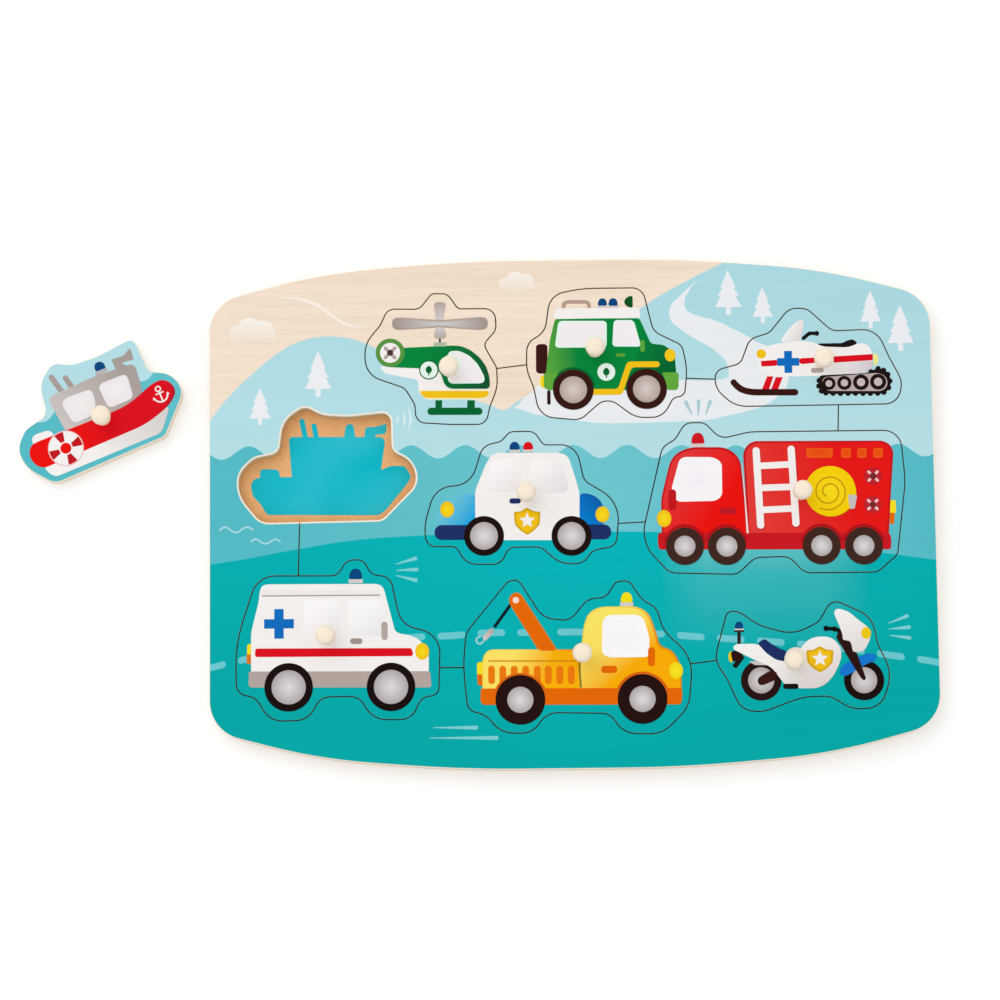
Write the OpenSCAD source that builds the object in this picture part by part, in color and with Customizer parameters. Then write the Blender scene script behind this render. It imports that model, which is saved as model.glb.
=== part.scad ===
// Peg puzzle for small hands: nine rescue vehicles sawn out of a printed plywood face,
// which is glued on a thin fibreboard base. Each vehicle has a small turned peg to lift it by.
// The origin is the centre of the board's underside: +X along the board, +Y to the top of the
// picture, +Z up. The boat lies on the table beside the board, as it was lifted out.

/* [Board] */
// Wood that is left along the fullest row of vehicles, at its ends and between them, in all
row_spare = 41.8; // [34:0.2:60]
// Wood that is left up the fullest column of vehicles, in all
column_spare = 40; // [34:0.2:60]
// Radius of the board's four corners
board_corner_r = 16; // [10:1:22]
// Thickness of the fibreboard base
base_thickness = 3; // [2:0.5:5]
// Thickness of the plywood face and of the vehicles sawn out of it
face_thickness = 6; // [5:0.5:9]

/* [Saw cut] */
// Width of the cut that the saw blade leaves
saw_kerf = 0.5; // [0.3:0.1:0.8]

/* [Pegs] */
// Diameter of a peg's head
peg_head_d = 8; // [7:0.25:10]
// Height of a peg above the vehicle that it stands on
peg_height = 11; // [9:0.5:14]
// Diameter of a peg's foot, which rests on the vehicle
peg_foot_d = 6.4; // [6:0.1:6.9]
// Diameter of a peg's waist, between foot and head
peg_waist_d = 5.4; // [4.6:0.1:5.8]
// Height of a peg's waist above the vehicle
peg_waist_z = 2.6; // [2:0.1:3.2]
// Height at which a peg's head is at its full width
peg_head_z = 6.6; // [6:0.2:7.4]
// Diameter of the tenon that is glued into the vehicle
peg_tenon_d = 5; // [4:0.25:5.5]
// Depth of the hole that is drilled for the tenon
peg_bore_depth = 4.5; // [3.5:0.25:4.75]

/* [Helicopter] */
// Width of the helicopter, on the middle of its saw cut
helicopter_w = 54.6; // [52:0.2:57]
// Height of the helicopter, in the picture
helicopter_h = 54.8; // [52:0.2:57]

/* [Off-roader] */
// Width of the off-roader
off_roader_w = 65.8; // [63:0.2:68]
// Height of the off-roader
off_roader_h = 54.4; // [52:0.2:57]

/* [Snowmobile] */
// Width of the snowmobile
snowmobile_w = 76.6; // [73:0.2:79]
// Height of the snowmobile
snowmobile_h = 41; // [39:0.2:43]

/* [Boat] */
// Width of the boat
boat_w = 72.2; // [69:0.2:75]
// Height of the boat
boat_h = 47.2; // [45:0.2:50]
// How far the loose boat is turned on the table, in degrees
boat_turn = 22.3; // [0:0.1:40]
// Space on the table between the board's left side and the loose boat
boat_aside = 11.7; // [8:0.1:40]
// Distance of the loose boat's middle from the board's middle line
boat_along = 46.7; // [20:0.1:60]

/* [Police car] */
// Width of the police car
police_car_w = 78.8; // [76:0.2:81]
// Height of the police car
police_car_h = 54.8; // [52:0.2:57]

/* [Fire engine] */
// Width of the fire engine
fire_engine_w = 107.2; // [104:0.2:109]
// Height of the fire engine
fire_engine_h = 62.8; // [60:0.2:65]

/* [Ambulance] */
// Width of the ambulance
ambulance_w = 83; // [80:0.2:86]
// Height of the ambulance
ambulance_h = 65.6; // [63:0.2:68]

/* [Tow truck] */
// Width of the tow truck
tow_truck_w = 93; // [90:0.2:95]
// Height of the tow truck
tow_truck_h = 62.8; // [60:0.2:65]

/* [Motorcycle] */
// Width of the motorcycle
motorcycle_w = 70.8; // [68:0.2:73]
// Height of the motorcycle
motorcycle_h = 44.2; // [42:0.2:46]

/* [Hidden] */

// Glue gap round a tenon, and under its end
tenon_gap = 0.05;
tenon_end_gap = 0.3;
// Rounding of the peg: its crown, the widest line of its head, its waist and its foot
peg_crown_r = 2.6;
peg_brim_r = 2;
peg_waist_r = 3;
peg_foot_r = 0.5;
// Overrun that carries a cut past the face it opens
overrun = 1;
// Arcs are drawn with chords no longer than this, which turn by no more than this angle
arc_chord = 5;
arc_angle = 8;
// Largest share of an outline's side that the rounding of one of its corners takes up
reach_share = 0.48;
// Facets of a round hole and of a turned peg
round_fn = 64;

// The rows of vehicles from left to right, and the columns from the bottom up
TOP_ROW = [helicopter_w, off_roader_w, snowmobile_w];
MIDDLE_ROW = [boat_w, police_car_w, fire_engine_w];
BOTTOM_ROW = [ambulance_w, tow_truck_w, motorcycle_w];
LEFT_COLUMN = [ambulance_h, boat_h, helicopter_h];
MIDDLE_COLUMN = [tow_truck_h, police_car_h, off_roader_h];
RIGHT_COLUMN = [motorcycle_h, fire_engine_h, snowmobile_h];
// The board is as long as its fullest row and as wide as its fullest column need
board_length = row_spare + max(total(TOP_ROW), total(MIDDLE_ROW), total(BOTTOM_ROW));
board_width = column_spare + max(total(LEFT_COLUMN), total(MIDDLE_COLUMN), total(RIGHT_COLUMN));

// Corners of a quarter of the board's outline, as shares of its length and width. The long
// sides are bowed, so only the last corner has a radius of its own.
board_corner_shares = [[0.15, 0.5], [0.35, 0.477], [0.5, 0.42]];

// How much of a row's or column's spare wood lies before each of its vehicles, as shares
top_row_shares = [0.629, 0.752, 0.874];
middle_row_shares = [0.306, 0.416, 0.696];
bottom_row_shares = [0.218, 0.408, 0.605];
left_column_shares = [0.476, 0.851, 0.686];
middle_column_shares = [0.36, 0.549, 0.689];
right_column_shares = [0.362, 0.553, 0.661];

// Where each peg stands on its vehicle, as shares of the vehicle's width and height
helicopter_peg_share = [0.135, -0.08];
off_roader_peg_share = [-0.072, 0.026];
snowmobile_peg_share = [0.077, -0.041];
boat_peg_share = [0.018, -0.121];
police_car_peg_share = [0.025, 0.027];
fire_engine_peg_share = [0.102, 0.033];
ambulance_peg_share = [-0.059, 0.021];
tow_truck_peg_share = [0.02, 0.018];
motorcycle_peg_share = [-0.057, -0.048];

// The saw's way round each vehicle, anticlockwise. A row is a corner: its place across and up,
// and the radius that rounds it, as shares of the vehicle's width, height and height.
// Rotor hub, tail, tail fin, skids, nose and rotor tip
helicopter_corner_shares = [
    [0.01, 0.505, 0.05], [-0.085, 0.385, 0.08], [-0.325, 0.39, 0.08], [-0.385, 0.262, 0.1],
    [-0.505, 0.12, 0.25], [-0.495, -0.115, 0.2], [-0.2, -0.22, 0.1], [-0.125, -0.345, 0.1],
    [-0.115, -0.485, 0.08], [0.15, -0.503, 1], [0.415, -0.505, 0.12], [0.445, -0.37, 0.1],
    [0.505, -0.22, 0.3], [0.5, -0.07, 0.08], [0.4, 0.11, 0.06], [0.5, 0.22, 0.1],
    [0.49, 0.385, 0.1], [0.21, 0.385, 0.05], [0.13, 0.502, 0.07],
];
// Roof, spare wheel, rear wheel, front wheel, bumper and bonnet
off_roader_corner_shares = [
    [-0.15, 0.505, 1], [-0.35, 0.455, 0.15], [-0.385, 0.165, 0.15], [-0.5, 0.09, 0.12],
    [-0.505, -0.12, 0.3], [-0.46, -0.26, 0.3], [-0.425, -0.485, 0.2], [-0.17, -0.515, 0.12],
    [0, -0.335, 0.12], [0.18, -0.5, 0.2], [0.35, -0.5, 0.15], [0.42, -0.35, 0.06],
    [0.49, -0.335, 0.06], [0.51, -0.13, 0.5], [0.48, 0.055, 0.08], [0.3, 0.165, 0.12],
    [0.235, 0.505, 0.1],
];
// Windscreen, cowl, nose, ski, track and seat
snowmobile_corner_shares = [
    [-0.095, 0.505, 0.15], [-0.205, 0.255, 0.15], [-0.315, 0.19, 0.15], [-0.365, -0.06, 0.12],
    [-0.51, -0.13, 0.15], [-0.5, -0.32, 0.2], [-0.4, -0.5, 0.3], [0.47, -0.49, 0.2],
    [0.515, -0.28, 0.3], [0.44, -0.01, 0.5], [0.375, 0.28, 0.25], [0.135, 0.265, 0.15],
    [0, 0.5, 0.15],
];
// Aerials, stern, keel, bow and horn
boat_corner_shares = [
    [-0.13, 0.515, 0.1], [-0.25, 0.39, 0.4], [-0.275, 0.1, 0.1], [-0.42, 0.055, 0.15],
    [-0.51, -0.08, 0.3], [-0.5, -0.28, 0.3], [-0.38, -0.505, 0.15], [0.31, -0.49, 0.1],
    [0.515, -0.17, 0.25], [0.48, 0.02, 0.2], [0.365, 0.11, 0.1], [0.36, 0.45, 0.07],
    [0.12, 0.415, 0.6], [-0.03, 0.43, 0.3],
];
// Siren, roof, bonnet, front wheel, rear wheel and boot
police_car_corner_shares = [
    [-0.06, 0.505, 0.08], [-0.1, 0.43, 0.1], [-0.2, 0.4, 0.15], [-0.265, 0.1, 0.2],
    [-0.45, 0.09, 0.25], [-0.51, -0.2, 0.4], [-0.5, -0.365, 0.08], [-0.345, -0.365, 0.06],
    [-0.29, -0.5, 0.15], [-0.11, -0.505, 0.12], [-0.07, -0.375, 0.08], [0.1, -0.375, 0.1],
    [0.2, -0.505, 0.2], [0.32, -0.505, 0.12], [0.37, -0.405, 0.1], [0.495, -0.375, 0.08],
    [0.515, -0.04, 0.3], [0.33, 0.125, 0.1], [0.29, 0.4, 0.15], [0.12, 0.4, 0.05],
    [0.07, 0.505, 0.08],
];
// Siren, cab, front wheels, rear wheels and box
fire_engine_corner_shares = [
    [-0.34, 0.505, 0.08], [-0.38, 0.395, 0.1], [-0.43, 0.345, 0.1], [-0.51, -0.22, 0.5],
    [-0.49, -0.34, 0.2], [-0.41, -0.49, 0.1], [-0.15, -0.505, 0.1], [-0.08, -0.395, 0.1],
    [0.05, -0.39, 0.1], [0.11, -0.5, 0.1], [0.39, -0.5, 0.1], [0.468, -0.385, 0.06],
    [0.505, 0.1, 0.5], [0.49, 0.44, 0.12], [-0.09, 0.44, 0.3], [-0.205, 0.395, 0.1],
    [-0.265, 0.505, 0.08],
];
// Siren, box, rear wheel, front wheel, bonnet and windscreen
ambulance_corner_shares = [
    [0.04, 0.505, 0.08], [0, 0.405, 0.08], [-0.4, 0.41, 0.15], [-0.51, -0.02, 1],
    [-0.505, -0.33, 0.12], [-0.41, -0.355, 0.1], [-0.34, -0.505, 0.25], [-0.15, -0.5, 0.2],
    [-0.09, -0.355, 0.1], [0.1, -0.355, 0.1], [0.17, -0.5, 0.2], [0.36, -0.505, 0.2],
    [0.41, -0.36, 0.1], [0.495, -0.355, 0.1], [0.505, 0.03, 0.25], [0.31, 0.09, 0.15],
    [0.26, 0.395, 0.2], [0.165, 0.41, 0.08], [0.125, 0.505, 0.06],
];
// Crane, hook, rear wheel, front wheel, bonnet, cab and siren
tow_truck_corner_shares = [
    [-0.3, 0.51, 0.07], [-0.49, 0.17, 0.15], [-0.505, -0.05, 1], [-0.485, -0.345, 0.12],
    [-0.41, -0.365, 0.15], [-0.34, -0.49, 0.25], [-0.2, -0.495, 0.15], [-0.14, -0.36, 0.15],
    [0.14, -0.37, 0.1], [0.2, -0.5, 0.2], [0.37, -0.51, 0.2], [0.49, -0.33, 0.2],
    [0.51, -0.01, 0.25], [0.38, 0.17, 0.3], [0.355, 0.32, 0.2], [0.29, 0.37, 0.2],
    [0.235, 0.5, 0.06], [0.175, 0.495, 0.06], [0.13, 0.39, 0.08], [0.05, 0.385, 0.15],
    [-0.03, 0.24, 0.1], [-0.15, 0.26, 0.15], [-0.255, 0.51, 0.05],
];
// Siren, rear wheel, front wheel, fairing and seat
motorcycle_corner_shares = [
    [-0.43, 0.43, 0.15], [-0.51, -0.03, 0.3], [-0.44, -0.2, 0.4], [-0.36, -0.49, 0.25],
    [-0.24, -0.52, 0.3], [0, -0.38, 0.6], [0.16, -0.375, 0.2], [0.28, -0.5, 0.3],
    [0.45, -0.49, 0.25], [0.52, -0.17, 0.4], [0.44, 0.1, 0.3], [0.41, 0.36, 0.3],
    [0.18, 0.53, 0.1], [0.1, 0.315, 0.15], [-0.05, 0.2, 0.5], [-0.25, 0.29, 0.5],
    [-0.36, 0.42, 0.3],
];

// A vehicle is its size, its place on the board, its peg's place on it, and its corners. Its
// place is its turn in its row and in its column.
HELICOPTER = [[helicopter_w, helicopter_h],
    [along(TOP_ROW, top_row_shares, 0), up(LEFT_COLUMN, left_column_shares, 2)],
    helicopter_peg_share, helicopter_corner_shares];
OFF_ROADER = [[off_roader_w, off_roader_h],
    [along(TOP_ROW, top_row_shares, 1), up(MIDDLE_COLUMN, middle_column_shares, 2)],
    off_roader_peg_share, off_roader_corner_shares];
SNOWMOBILE = [[snowmobile_w, snowmobile_h],
    [along(TOP_ROW, top_row_shares, 2), up(RIGHT_COLUMN, right_column_shares, 2)],
    snowmobile_peg_share, snowmobile_corner_shares];
BOAT = [[boat_w, boat_h],
    [along(MIDDLE_ROW, middle_row_shares, 0), up(LEFT_COLUMN, left_column_shares, 1)],
    boat_peg_share, boat_corner_shares];
POLICE_CAR = [[police_car_w, police_car_h],
    [along(MIDDLE_ROW, middle_row_shares, 1), up(MIDDLE_COLUMN, middle_column_shares, 1)],
    police_car_peg_share, police_car_corner_shares];
FIRE_ENGINE = [[fire_engine_w, fire_engine_h],
    [along(MIDDLE_ROW, middle_row_shares, 2), up(RIGHT_COLUMN, right_column_shares, 1)],
    fire_engine_peg_share, fire_engine_corner_shares];
AMBULANCE = [[ambulance_w, ambulance_h],
    [along(BOTTOM_ROW, bottom_row_shares, 0), up(LEFT_COLUMN, left_column_shares, 0)],
    ambulance_peg_share, ambulance_corner_shares];
TOW_TRUCK = [[tow_truck_w, tow_truck_h],
    [along(BOTTOM_ROW, bottom_row_shares, 1), up(MIDDLE_COLUMN, middle_column_shares, 0)],
    tow_truck_peg_share, tow_truck_corner_shares];
MOTORCYCLE = [[motorcycle_w, motorcycle_h],
    [along(BOTTOM_ROW, bottom_row_shares, 2), up(RIGHT_COLUMN, right_column_shares, 0)],
    motorcycle_peg_share, motorcycle_corner_shares];
VEHICLES = [HELICOPTER, OFF_ROADER, SNOWMOBILE, BOAT, POLICE_CAR, FIRE_ENGINE, AMBULANCE, TOW_TRUCK,
    MOTORCYCLE];

// The saw goes from one vehicle to the next through a straight cut. A row is the vehicle that
// it leaves and the point just inside its outline, then the vehicle that it comes to and the
// point there, as shares of their widths and heights.
cut_shares = [
    [HELICOPTER, [0.48, -0.08], OFF_ROADER, [-0.48, -0.08]],
    [OFF_ROADER, [0.48, -0.2], SNOWMOBILE, [-0.48, -0.22]],
    [SNOWMOBILE, [0.16, -0.47], FIRE_ENGINE, [0.25, 0.42]],
    [POLICE_CAR, [0.48, -0.205], FIRE_ENGINE, [-0.48, -0.15]],
    [BOAT, [-0.16, -0.47], AMBULANCE, [-0.198, 0.38]],
    [AMBULANCE, [0.48, -0.18], TOW_TRUCK, [-0.48, -0.06]],
    [TOW_TRUCK, [0.48, -0.055], MOTORCYCLE, [-0.48, -0.03]],
];

function total(sizes, n = 3) = n == 0 ? 0 : sizes[n - 1] + total(sizes, n - 1);
// The middle of vehicle k in a row or column, in which its spare wood is shared out
function along_line(sizes, shares, k, whole) =
    total(sizes, k) + sizes[k] / 2 + shares[k] * (whole - total(sizes)) - whole / 2;
function along(row, shares, k) = along_line(row, shares, k, board_length);
function up(column, shares, k) = along_line(column, shares, k, board_width);
function scaled(share, size) = [share.x * size.x, share.y * size.y];
function vehicle_size(vehicle) = vehicle[0];
function vehicle_place(vehicle) = vehicle[1];
function peg_place(vehicle) = scaled(vehicle[2], vehicle_size(vehicle));
function point_on(vehicle, share) = vehicle_place(vehicle) + scaled(share, vehicle_size(vehicle));

// Points of the arc that rounds the corner p between the corners a and b, which lie anticlockwise
// round the outline. grow moves the outline outwards, so it widens the arc of an outer corner
// and narrows the arc of an inner one. A corner with no radius stays sharp.
function corner_arc(a, p, b, radius, grow) =
    radius == 0 ? [p] :
    let (to_a = (a - p) / norm(a - p))
    let (to_b = (b - p) / norm(b - p))
    let (outer = cross(p - a, b - p) > 0 ? 1 : -1)
    let (half_angle = acos(to_a * to_b) / 2)
    let (side = min(norm(a - p), norm(b - p)))
    let (reach = min(radius / tan(half_angle), reach_share * side))
    let (r = reach * tan(half_angle))
    let (middle = p + (to_a + to_b) / norm(to_a + to_b) * r / sin(half_angle))
    let (first = p + to_a * reach - middle)
    let (start = atan2(first.y, first.x))
    let (sweep = 180 - 2 * half_angle)
    let (steps = ceil(max(sweep / arc_angle, sweep * PI / 180 * r / arc_chord)))
    [for (i = [0:steps])
        let (angle = start + outer * sweep * i / steps)
        middle + (r + outer * grow) * [cos(angle), sin(angle)]];

// A closed outline from rows of corners [x, y, radius], moved outwards by grow
function rounded(corners, grow = 0) =
    let (n = len(corners))
    let (at = [for (c = corners) [c.x, c.y]])
    [for (i = [0:n - 1]) each
        corner_arc(at[(i + n - 1) % n], at[i], at[(i + 1) % n], corners[i].z, grow)];

// The outline of a vehicle, or of its opening, at grow from the middle of the saw cut
function vehicle_outline(vehicle, grow) =
    let (size = vehicle_size(vehicle))
    rounded([for (c = vehicle[3]) [c.x * size.x, c.y * size.y, c.z * size.y]], grow);

// The board's outline: a quarter's corners, turned in mirrored order into the other quarters
function board_outline() =
    let (n = len(board_corner_shares) - 1)
    let (quarter = [for (i = [0:n])
        let (at = scaled(board_corner_shares[i], [board_length, board_width]))
        [at.x, at.y, i == n ? board_corner_r : 2 * board_length]])
    rounded([
        for (i = [n:-1:0]) quarter[i],
        for (i = [0:n]) [-quarter[i].x, quarter[i].y, quarter[i].z],
        for (i = [n:-1:0]) [-quarter[i].x, -quarter[i].y, quarter[i].z],
        for (i = [0:n]) [quarter[i].x, -quarter[i].y, quarter[i].z],
    ]);

// The face's outer outline, followed by the outline of each opening
function face_loops() = [
    board_outline(),
    for (vehicle = VEHICLES)
        [for (p = vehicle_outline(vehicle, saw_kerf / 2)) p + vehicle_place(vehicle)],
];

// How many points the loops before loop k have
function points_before(loops, k) = k == 0 ? 0 : points_before(loops, k - 1) + len(loops[k - 1]);

// Half of the section of a turned peg, from its tenon's end to its crown, as [radius, height]
function peg_section() = rounded([
    [0, tenon_end_gap - peg_bore_depth, 0],
    [peg_tenon_d / 2, tenon_end_gap - peg_bore_depth, 0],
    [peg_tenon_d / 2, 0, 0],
    [peg_foot_d / 2, 0, peg_foot_r],
    [peg_waist_d / 2, peg_waist_z, peg_waist_r],
    [peg_head_d / 2, peg_head_z, peg_brim_r],
    [peg_head_d / 2, peg_height, peg_crown_r],
    [0, peg_height, 0],
]);

// A straight saw cut through the face from point a to point b
module saw_cut(a, b) {
    translate([a.x, a.y, -overrun])
        rotate(atan2(b.y - a.y, b.x - a.x))
            translate([0, -saw_kerf / 2, 0])
                cube([norm(b - a), saw_kerf, face_thickness + 2 * overrun]);
}

// A vehicle with the hole for its peg, its underside at z = 0
module sawn_piece(vehicle) {
    at = peg_place(vehicle);
    difference() {
        linear_extrude(height = face_thickness)
            polygon(vehicle_outline(vehicle, -saw_kerf / 2));
        translate([at.x, at.y, face_thickness - peg_bore_depth])
            cylinder(h = peg_bore_depth + overrun, d = peg_tenon_d + 2 * tenon_gap, $fn = round_fn);
    }
}

// The peg of a vehicle whose underside is at z = 0
module turned_peg(vehicle) {
    at = peg_place(vehicle);
    translate([at.x, at.y, face_thickness])
        rotate_extrude($fn = round_fn)
            polygon(peg_section());
}

// Puts a vehicle or its peg into its opening, down on the base
module in_board(vehicle) {
    at = vehicle_place(vehicle);
    translate([at.x, at.y, base_thickness])
        children();
}

// Lays the boat or its peg on the table beside the board
module beside_board() {
    translate([-board_length / 2 - boat_aside - boat_w / 2, boat_along, 0])
        rotate(boat_turn)
            children();
}

module base_board() {
    color("#c58b5c")
        linear_extrude(height = base_thickness)
            polygon(board_outline());
}

module face_frame() {
    loops = face_loops();
    paths = [for (k = [0:len(loops) - 1])
        [for (i = [0:len(loops[k]) - 1]) points_before(loops, k) + i]];
    color("#6cc3cc")
        translate([0, 0, base_thickness])
            difference() {
                linear_extrude(height = face_thickness)
                    polygon([for (loop = loops) each loop], paths);
                for (cut = cut_shares)
                    saw_cut(point_on(cut[0], cut[1]), point_on(cut[2], cut[3]));
            }
}

module helicopter_piece() {
    color("#2f9e62") in_board(HELICOPTER) sawn_piece(HELICOPTER);
}
module helicopter_peg() {
    color("#fbe6c2") in_board(HELICOPTER) turned_peg(HELICOPTER);
}
module off_roader_piece() {
    color("#0e8a45") in_board(OFF_ROADER) sawn_piece(OFF_ROADER);
}
module off_roader_peg() {
    color("#fbe6c2") in_board(OFF_ROADER) turned_peg(OFF_ROADER);
}
module snowmobile_piece() {
    color("#eef0f2") in_board(SNOWMOBILE) sawn_piece(SNOWMOBILE);
}
module snowmobile_peg() {
    color("#fbe6c2") in_board(SNOWMOBILE) turned_peg(SNOWMOBILE);
}
module boat_piece() {
    color("#d9151f") beside_board() sawn_piece(BOAT);
}
module boat_peg() {
    color("#fbe6c2") beside_board() turned_peg(BOAT);
}
module police_car_piece() {
    color("#2a6fb8") in_board(POLICE_CAR) sawn_piece(POLICE_CAR);
}
module police_car_peg() {
    color("#fbe6c2") in_board(POLICE_CAR) turned_peg(POLICE_CAR);
}
module fire_engine_piece() {
    color("#e0261f") in_board(FIRE_ENGINE) sawn_piece(FIRE_ENGINE);
}
module fire_engine_peg() {
    color("#fbe6c2") in_board(FIRE_ENGINE) turned_peg(FIRE_ENGINE);
}
module ambulance_piece() {
    color("#f4f1ee") in_board(AMBULANCE) sawn_piece(AMBULANCE);
}
module ambulance_peg() {
    color("#fbe6c2") in_board(AMBULANCE) turned_peg(AMBULANCE);
}
module tow_truck_piece() {
    color("#f2c21a") in_board(TOW_TRUCK) sawn_piece(TOW_TRUCK);
}
module tow_truck_peg() {
    color("#fbe6c2") in_board(TOW_TRUCK) turned_peg(TOW_TRUCK);
}
module motorcycle_piece() {
    color("#dfe9f2") in_board(MOTORCYCLE) sawn_piece(MOTORCYCLE);
}
module motorcycle_peg() {
    color("#fbe6c2") in_board(MOTORCYCLE) turned_peg(MOTORCYCLE);
}

base_board();
face_frame();
helicopter_piece();
helicopter_peg();
off_roader_piece();
off_roader_peg();
snowmobile_piece();
snowmobile_peg();
boat_piece();
boat_peg();
police_car_piece();
police_car_peg();
fire_engine_piece();
fire_engine_peg();
ambulance_piece();
ambulance_peg();
tow_truck_piece();
tow_truck_peg();
motorcycle_piece();
motorcycle_peg();
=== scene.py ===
from math import cos, pi, radians, sin

import bmesh
import bpy
from mathutils import Matrix, Vector


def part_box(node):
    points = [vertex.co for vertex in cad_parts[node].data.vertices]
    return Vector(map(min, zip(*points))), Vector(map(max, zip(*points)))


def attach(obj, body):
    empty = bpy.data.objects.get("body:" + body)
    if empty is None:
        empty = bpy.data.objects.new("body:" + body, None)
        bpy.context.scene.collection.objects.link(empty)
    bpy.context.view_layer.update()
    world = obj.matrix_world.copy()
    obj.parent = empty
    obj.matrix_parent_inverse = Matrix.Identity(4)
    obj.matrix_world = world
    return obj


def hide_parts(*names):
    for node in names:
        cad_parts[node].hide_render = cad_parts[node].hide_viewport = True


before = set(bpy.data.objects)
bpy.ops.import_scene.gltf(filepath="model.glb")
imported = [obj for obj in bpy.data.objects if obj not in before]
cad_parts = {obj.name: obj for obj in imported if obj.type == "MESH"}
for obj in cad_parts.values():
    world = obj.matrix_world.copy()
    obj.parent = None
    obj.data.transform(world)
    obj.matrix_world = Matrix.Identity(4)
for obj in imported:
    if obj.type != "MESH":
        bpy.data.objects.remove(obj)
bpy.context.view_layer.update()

# The view: from 1.45 m above the middle of board and loose boat, leaning 7.7 degrees towards
# the near edge. Shapes and prints below are written in the board's millimetres.
view_at, view_far = Vector((-0.02984, 0.00528, 0.009)), 1.4462
view_lean = Matrix.Rotation(radians(7.7), 4, "X") @ Matrix.Rotation(radians(-0.641), 4, "Z")
camera = bpy.data.objects.new("camera", bpy.data.cameras.new("camera"))
camera.data.sensor_width = 36
camera.data.lens = 126
camera.matrix_world = Matrix.Translation(view_at + view_lean @ Vector((0, 0, view_far))) @ view_lean
bpy.context.scene.collection.objects.link(camera)
bpy.context.scene.camera = camera
bpy.context.scene.view_settings.view_transform = "Standard"


# The base: thin fibreboard with a smooth pressed face, cut to the board's outline. Fine fibres
# and darker specks show in it. Its cut edge and underside are paler: the cut fibres' own tone,
# with painted light on the outer wall, which the white table lights.
base_top = 3


def tint(code):
    """A colour written as rrggbb, as the shader's own numbers."""
    parts = [int(code[k:k + 2], 16) / 255 for k in (0, 2, 4)]
    return tuple(c / 12.92 if c < 0.04 else ((c + 0.055) / 1.055) ** 2.4 for c in parts) + (1,)


class Wire:
    """A socket in a material's nodes that can be used in sums."""

    def __init__(self, tree, socket=None):
        self.tree, self.socket = tree, socket

    def node(self, kind, settings=None, sockets=None, out=0):
        """The output of a new node, after its settings and the values or links of its inputs."""
        made = self.tree.nodes.new("ShaderNode" + kind)
        for setting, value in (settings or {}).items():
            if setting == "points":
                curve = made.mapping.curves[0]
                for _ in value[2:]:
                    curve.points.new(0.5, 0.5)
                for point, place in zip(curve.points, value):
                    point.location = place
                made.mapping.update()
            else:
                setattr(made, setting, value)
        for name, value in (sockets or {}).items():
            if isinstance(value, Wire):
                self.tree.links.new(value.socket, made.inputs[name])
            else:
                made.inputs[name].default_value = value
        return Wire(self.tree, made.outputs[out])

    def math(self, operation, *values):
        return self.node("Math", {"operation": operation}, dict(enumerate(values)))

    def __add__(self, other):
        return self.math("ADD", self, other)

    def __sub__(self, other):
        return self.math("SUBTRACT", self, other)

    def __rsub__(self, other):
        return self.math("SUBTRACT", other, self)

    def __mul__(self, other):
        return self.math("MULTIPLY", self, other)

    __radd__ = __add__
    __rmul__ = __mul__

    def within(self, low=0.0, high=1.0):
        """How far the value lies from low to high, from 0 to 1."""
        return self.node("MapRange", {"clamp": True}, {0: self, 1: low, 2: high})

    def tinted(self, low, high):
        """The colour low where the value is 0, and high where it is 1."""
        low, high = (tint(c) if isinstance(c, str) else c for c in (low, high))
        return self.node("Mix", {"data_type": "RGBA"}, {0: self, 6: low, 7: high}, out=2)

    def times(self, other):
        """The colour multiplied by another."""
        return self.node("Mix", {"data_type": "RGBA", "blend_type": "MULTIPLY"},
                         {0: 1.0, 6: self, 7: other}, out=2)

    def along(self, axis):
        """The vector's number along the axis 0, 1 or 2."""
        return self.node("SeparateXYZ", sockets={0: self}, out=axis)


def finish(name):
    """A new material, the start of its sums and its shader."""
    material = bpy.data.materials.new(name)
    material.use_nodes = True
    return material, Wire(material.node_tree), material.node_tree.nodes["Principled BSDF"]


def join(wire, shader, socket):
    wire.tree.links.new(wire.socket, shader.inputs[socket])


def cover(shader, colour, roughness, gloss, relief=None, strength=0.2, depth=0.03):
    """Gives the shader its colour, roughness, gloss and a relief so many millimetres deep."""
    join(colour, shader, "Base Color")
    join(roughness, shader, "Roughness")
    shader.inputs["Specular IOR Level"].default_value = gloss
    if relief:
        join(relief.node("Bump", sockets={
            "Strength": strength, "Distance": depth / 1000, "Height": relief}), shader, "Normal")


def millimetres(start, shift=(0, 0, 0), turn=0):
    """The place on the piece in millimetres, turned and then shifted."""
    place = start.node("TexCoord", out="Object")
    return start.node("Mapping", sockets={
        0: place, 1: shift, 2: (0, 0, turn), 3: (1000, 1000, 1000)})


def noise(place, stretch, detail=3.0, rough=0.5):
    """Noise whose cells are stretch millimetres long across, up and through."""
    cells = place.node("Mapping", sockets={0: place, 3: [1 / s for s in stretch]})
    return place.node("TexNoise", sockets={
        0: cells, "Scale": 1.0, "Detail": detail, "Roughness": rough})


fibreboard, start, shader = finish("fibreboard")
place = millimetres(start)
fibres = noise(place, (0.7, 0.5, 0.3), 4)
clouding = noise(place, (9, 7, 5), 2)
specks = noise(place, (0.35, 0.3, 0.3), 1).within(0.66, 0.74)
pressed = (fibres * 0.7 + clouding * 0.3).within(0.3, 0.7).tinted("dd995d", "f8c88e")
# The cut edge and underside: paler fibres, and on the outer wall painted light as well
cut = fibres.within(0.3, 0.7).tinted("dcc4a6", "efe0cb")
on_top = place.along(2).within(base_top - 0.2, base_top - 0.05)
colour = (specks * 0.6).tinted(on_top.tinted(cut, pressed), "8f5c36")
cover(shader, colour, fibres * 0.2 + 0.6, 0.1, fibres, 0.25, 0.06)
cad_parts["base_board"].data.materials[0] = fibreboard


# The face: pale birch plywood of five layers, 6 mm thick, printed with the scenery before it is
# sawn. The board's outer edge and that of the boat's recess are sanded round to the bare wood,
# and the edges along the other saw cuts are only just broken.
face_top, ply = 9, 1.2
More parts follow.
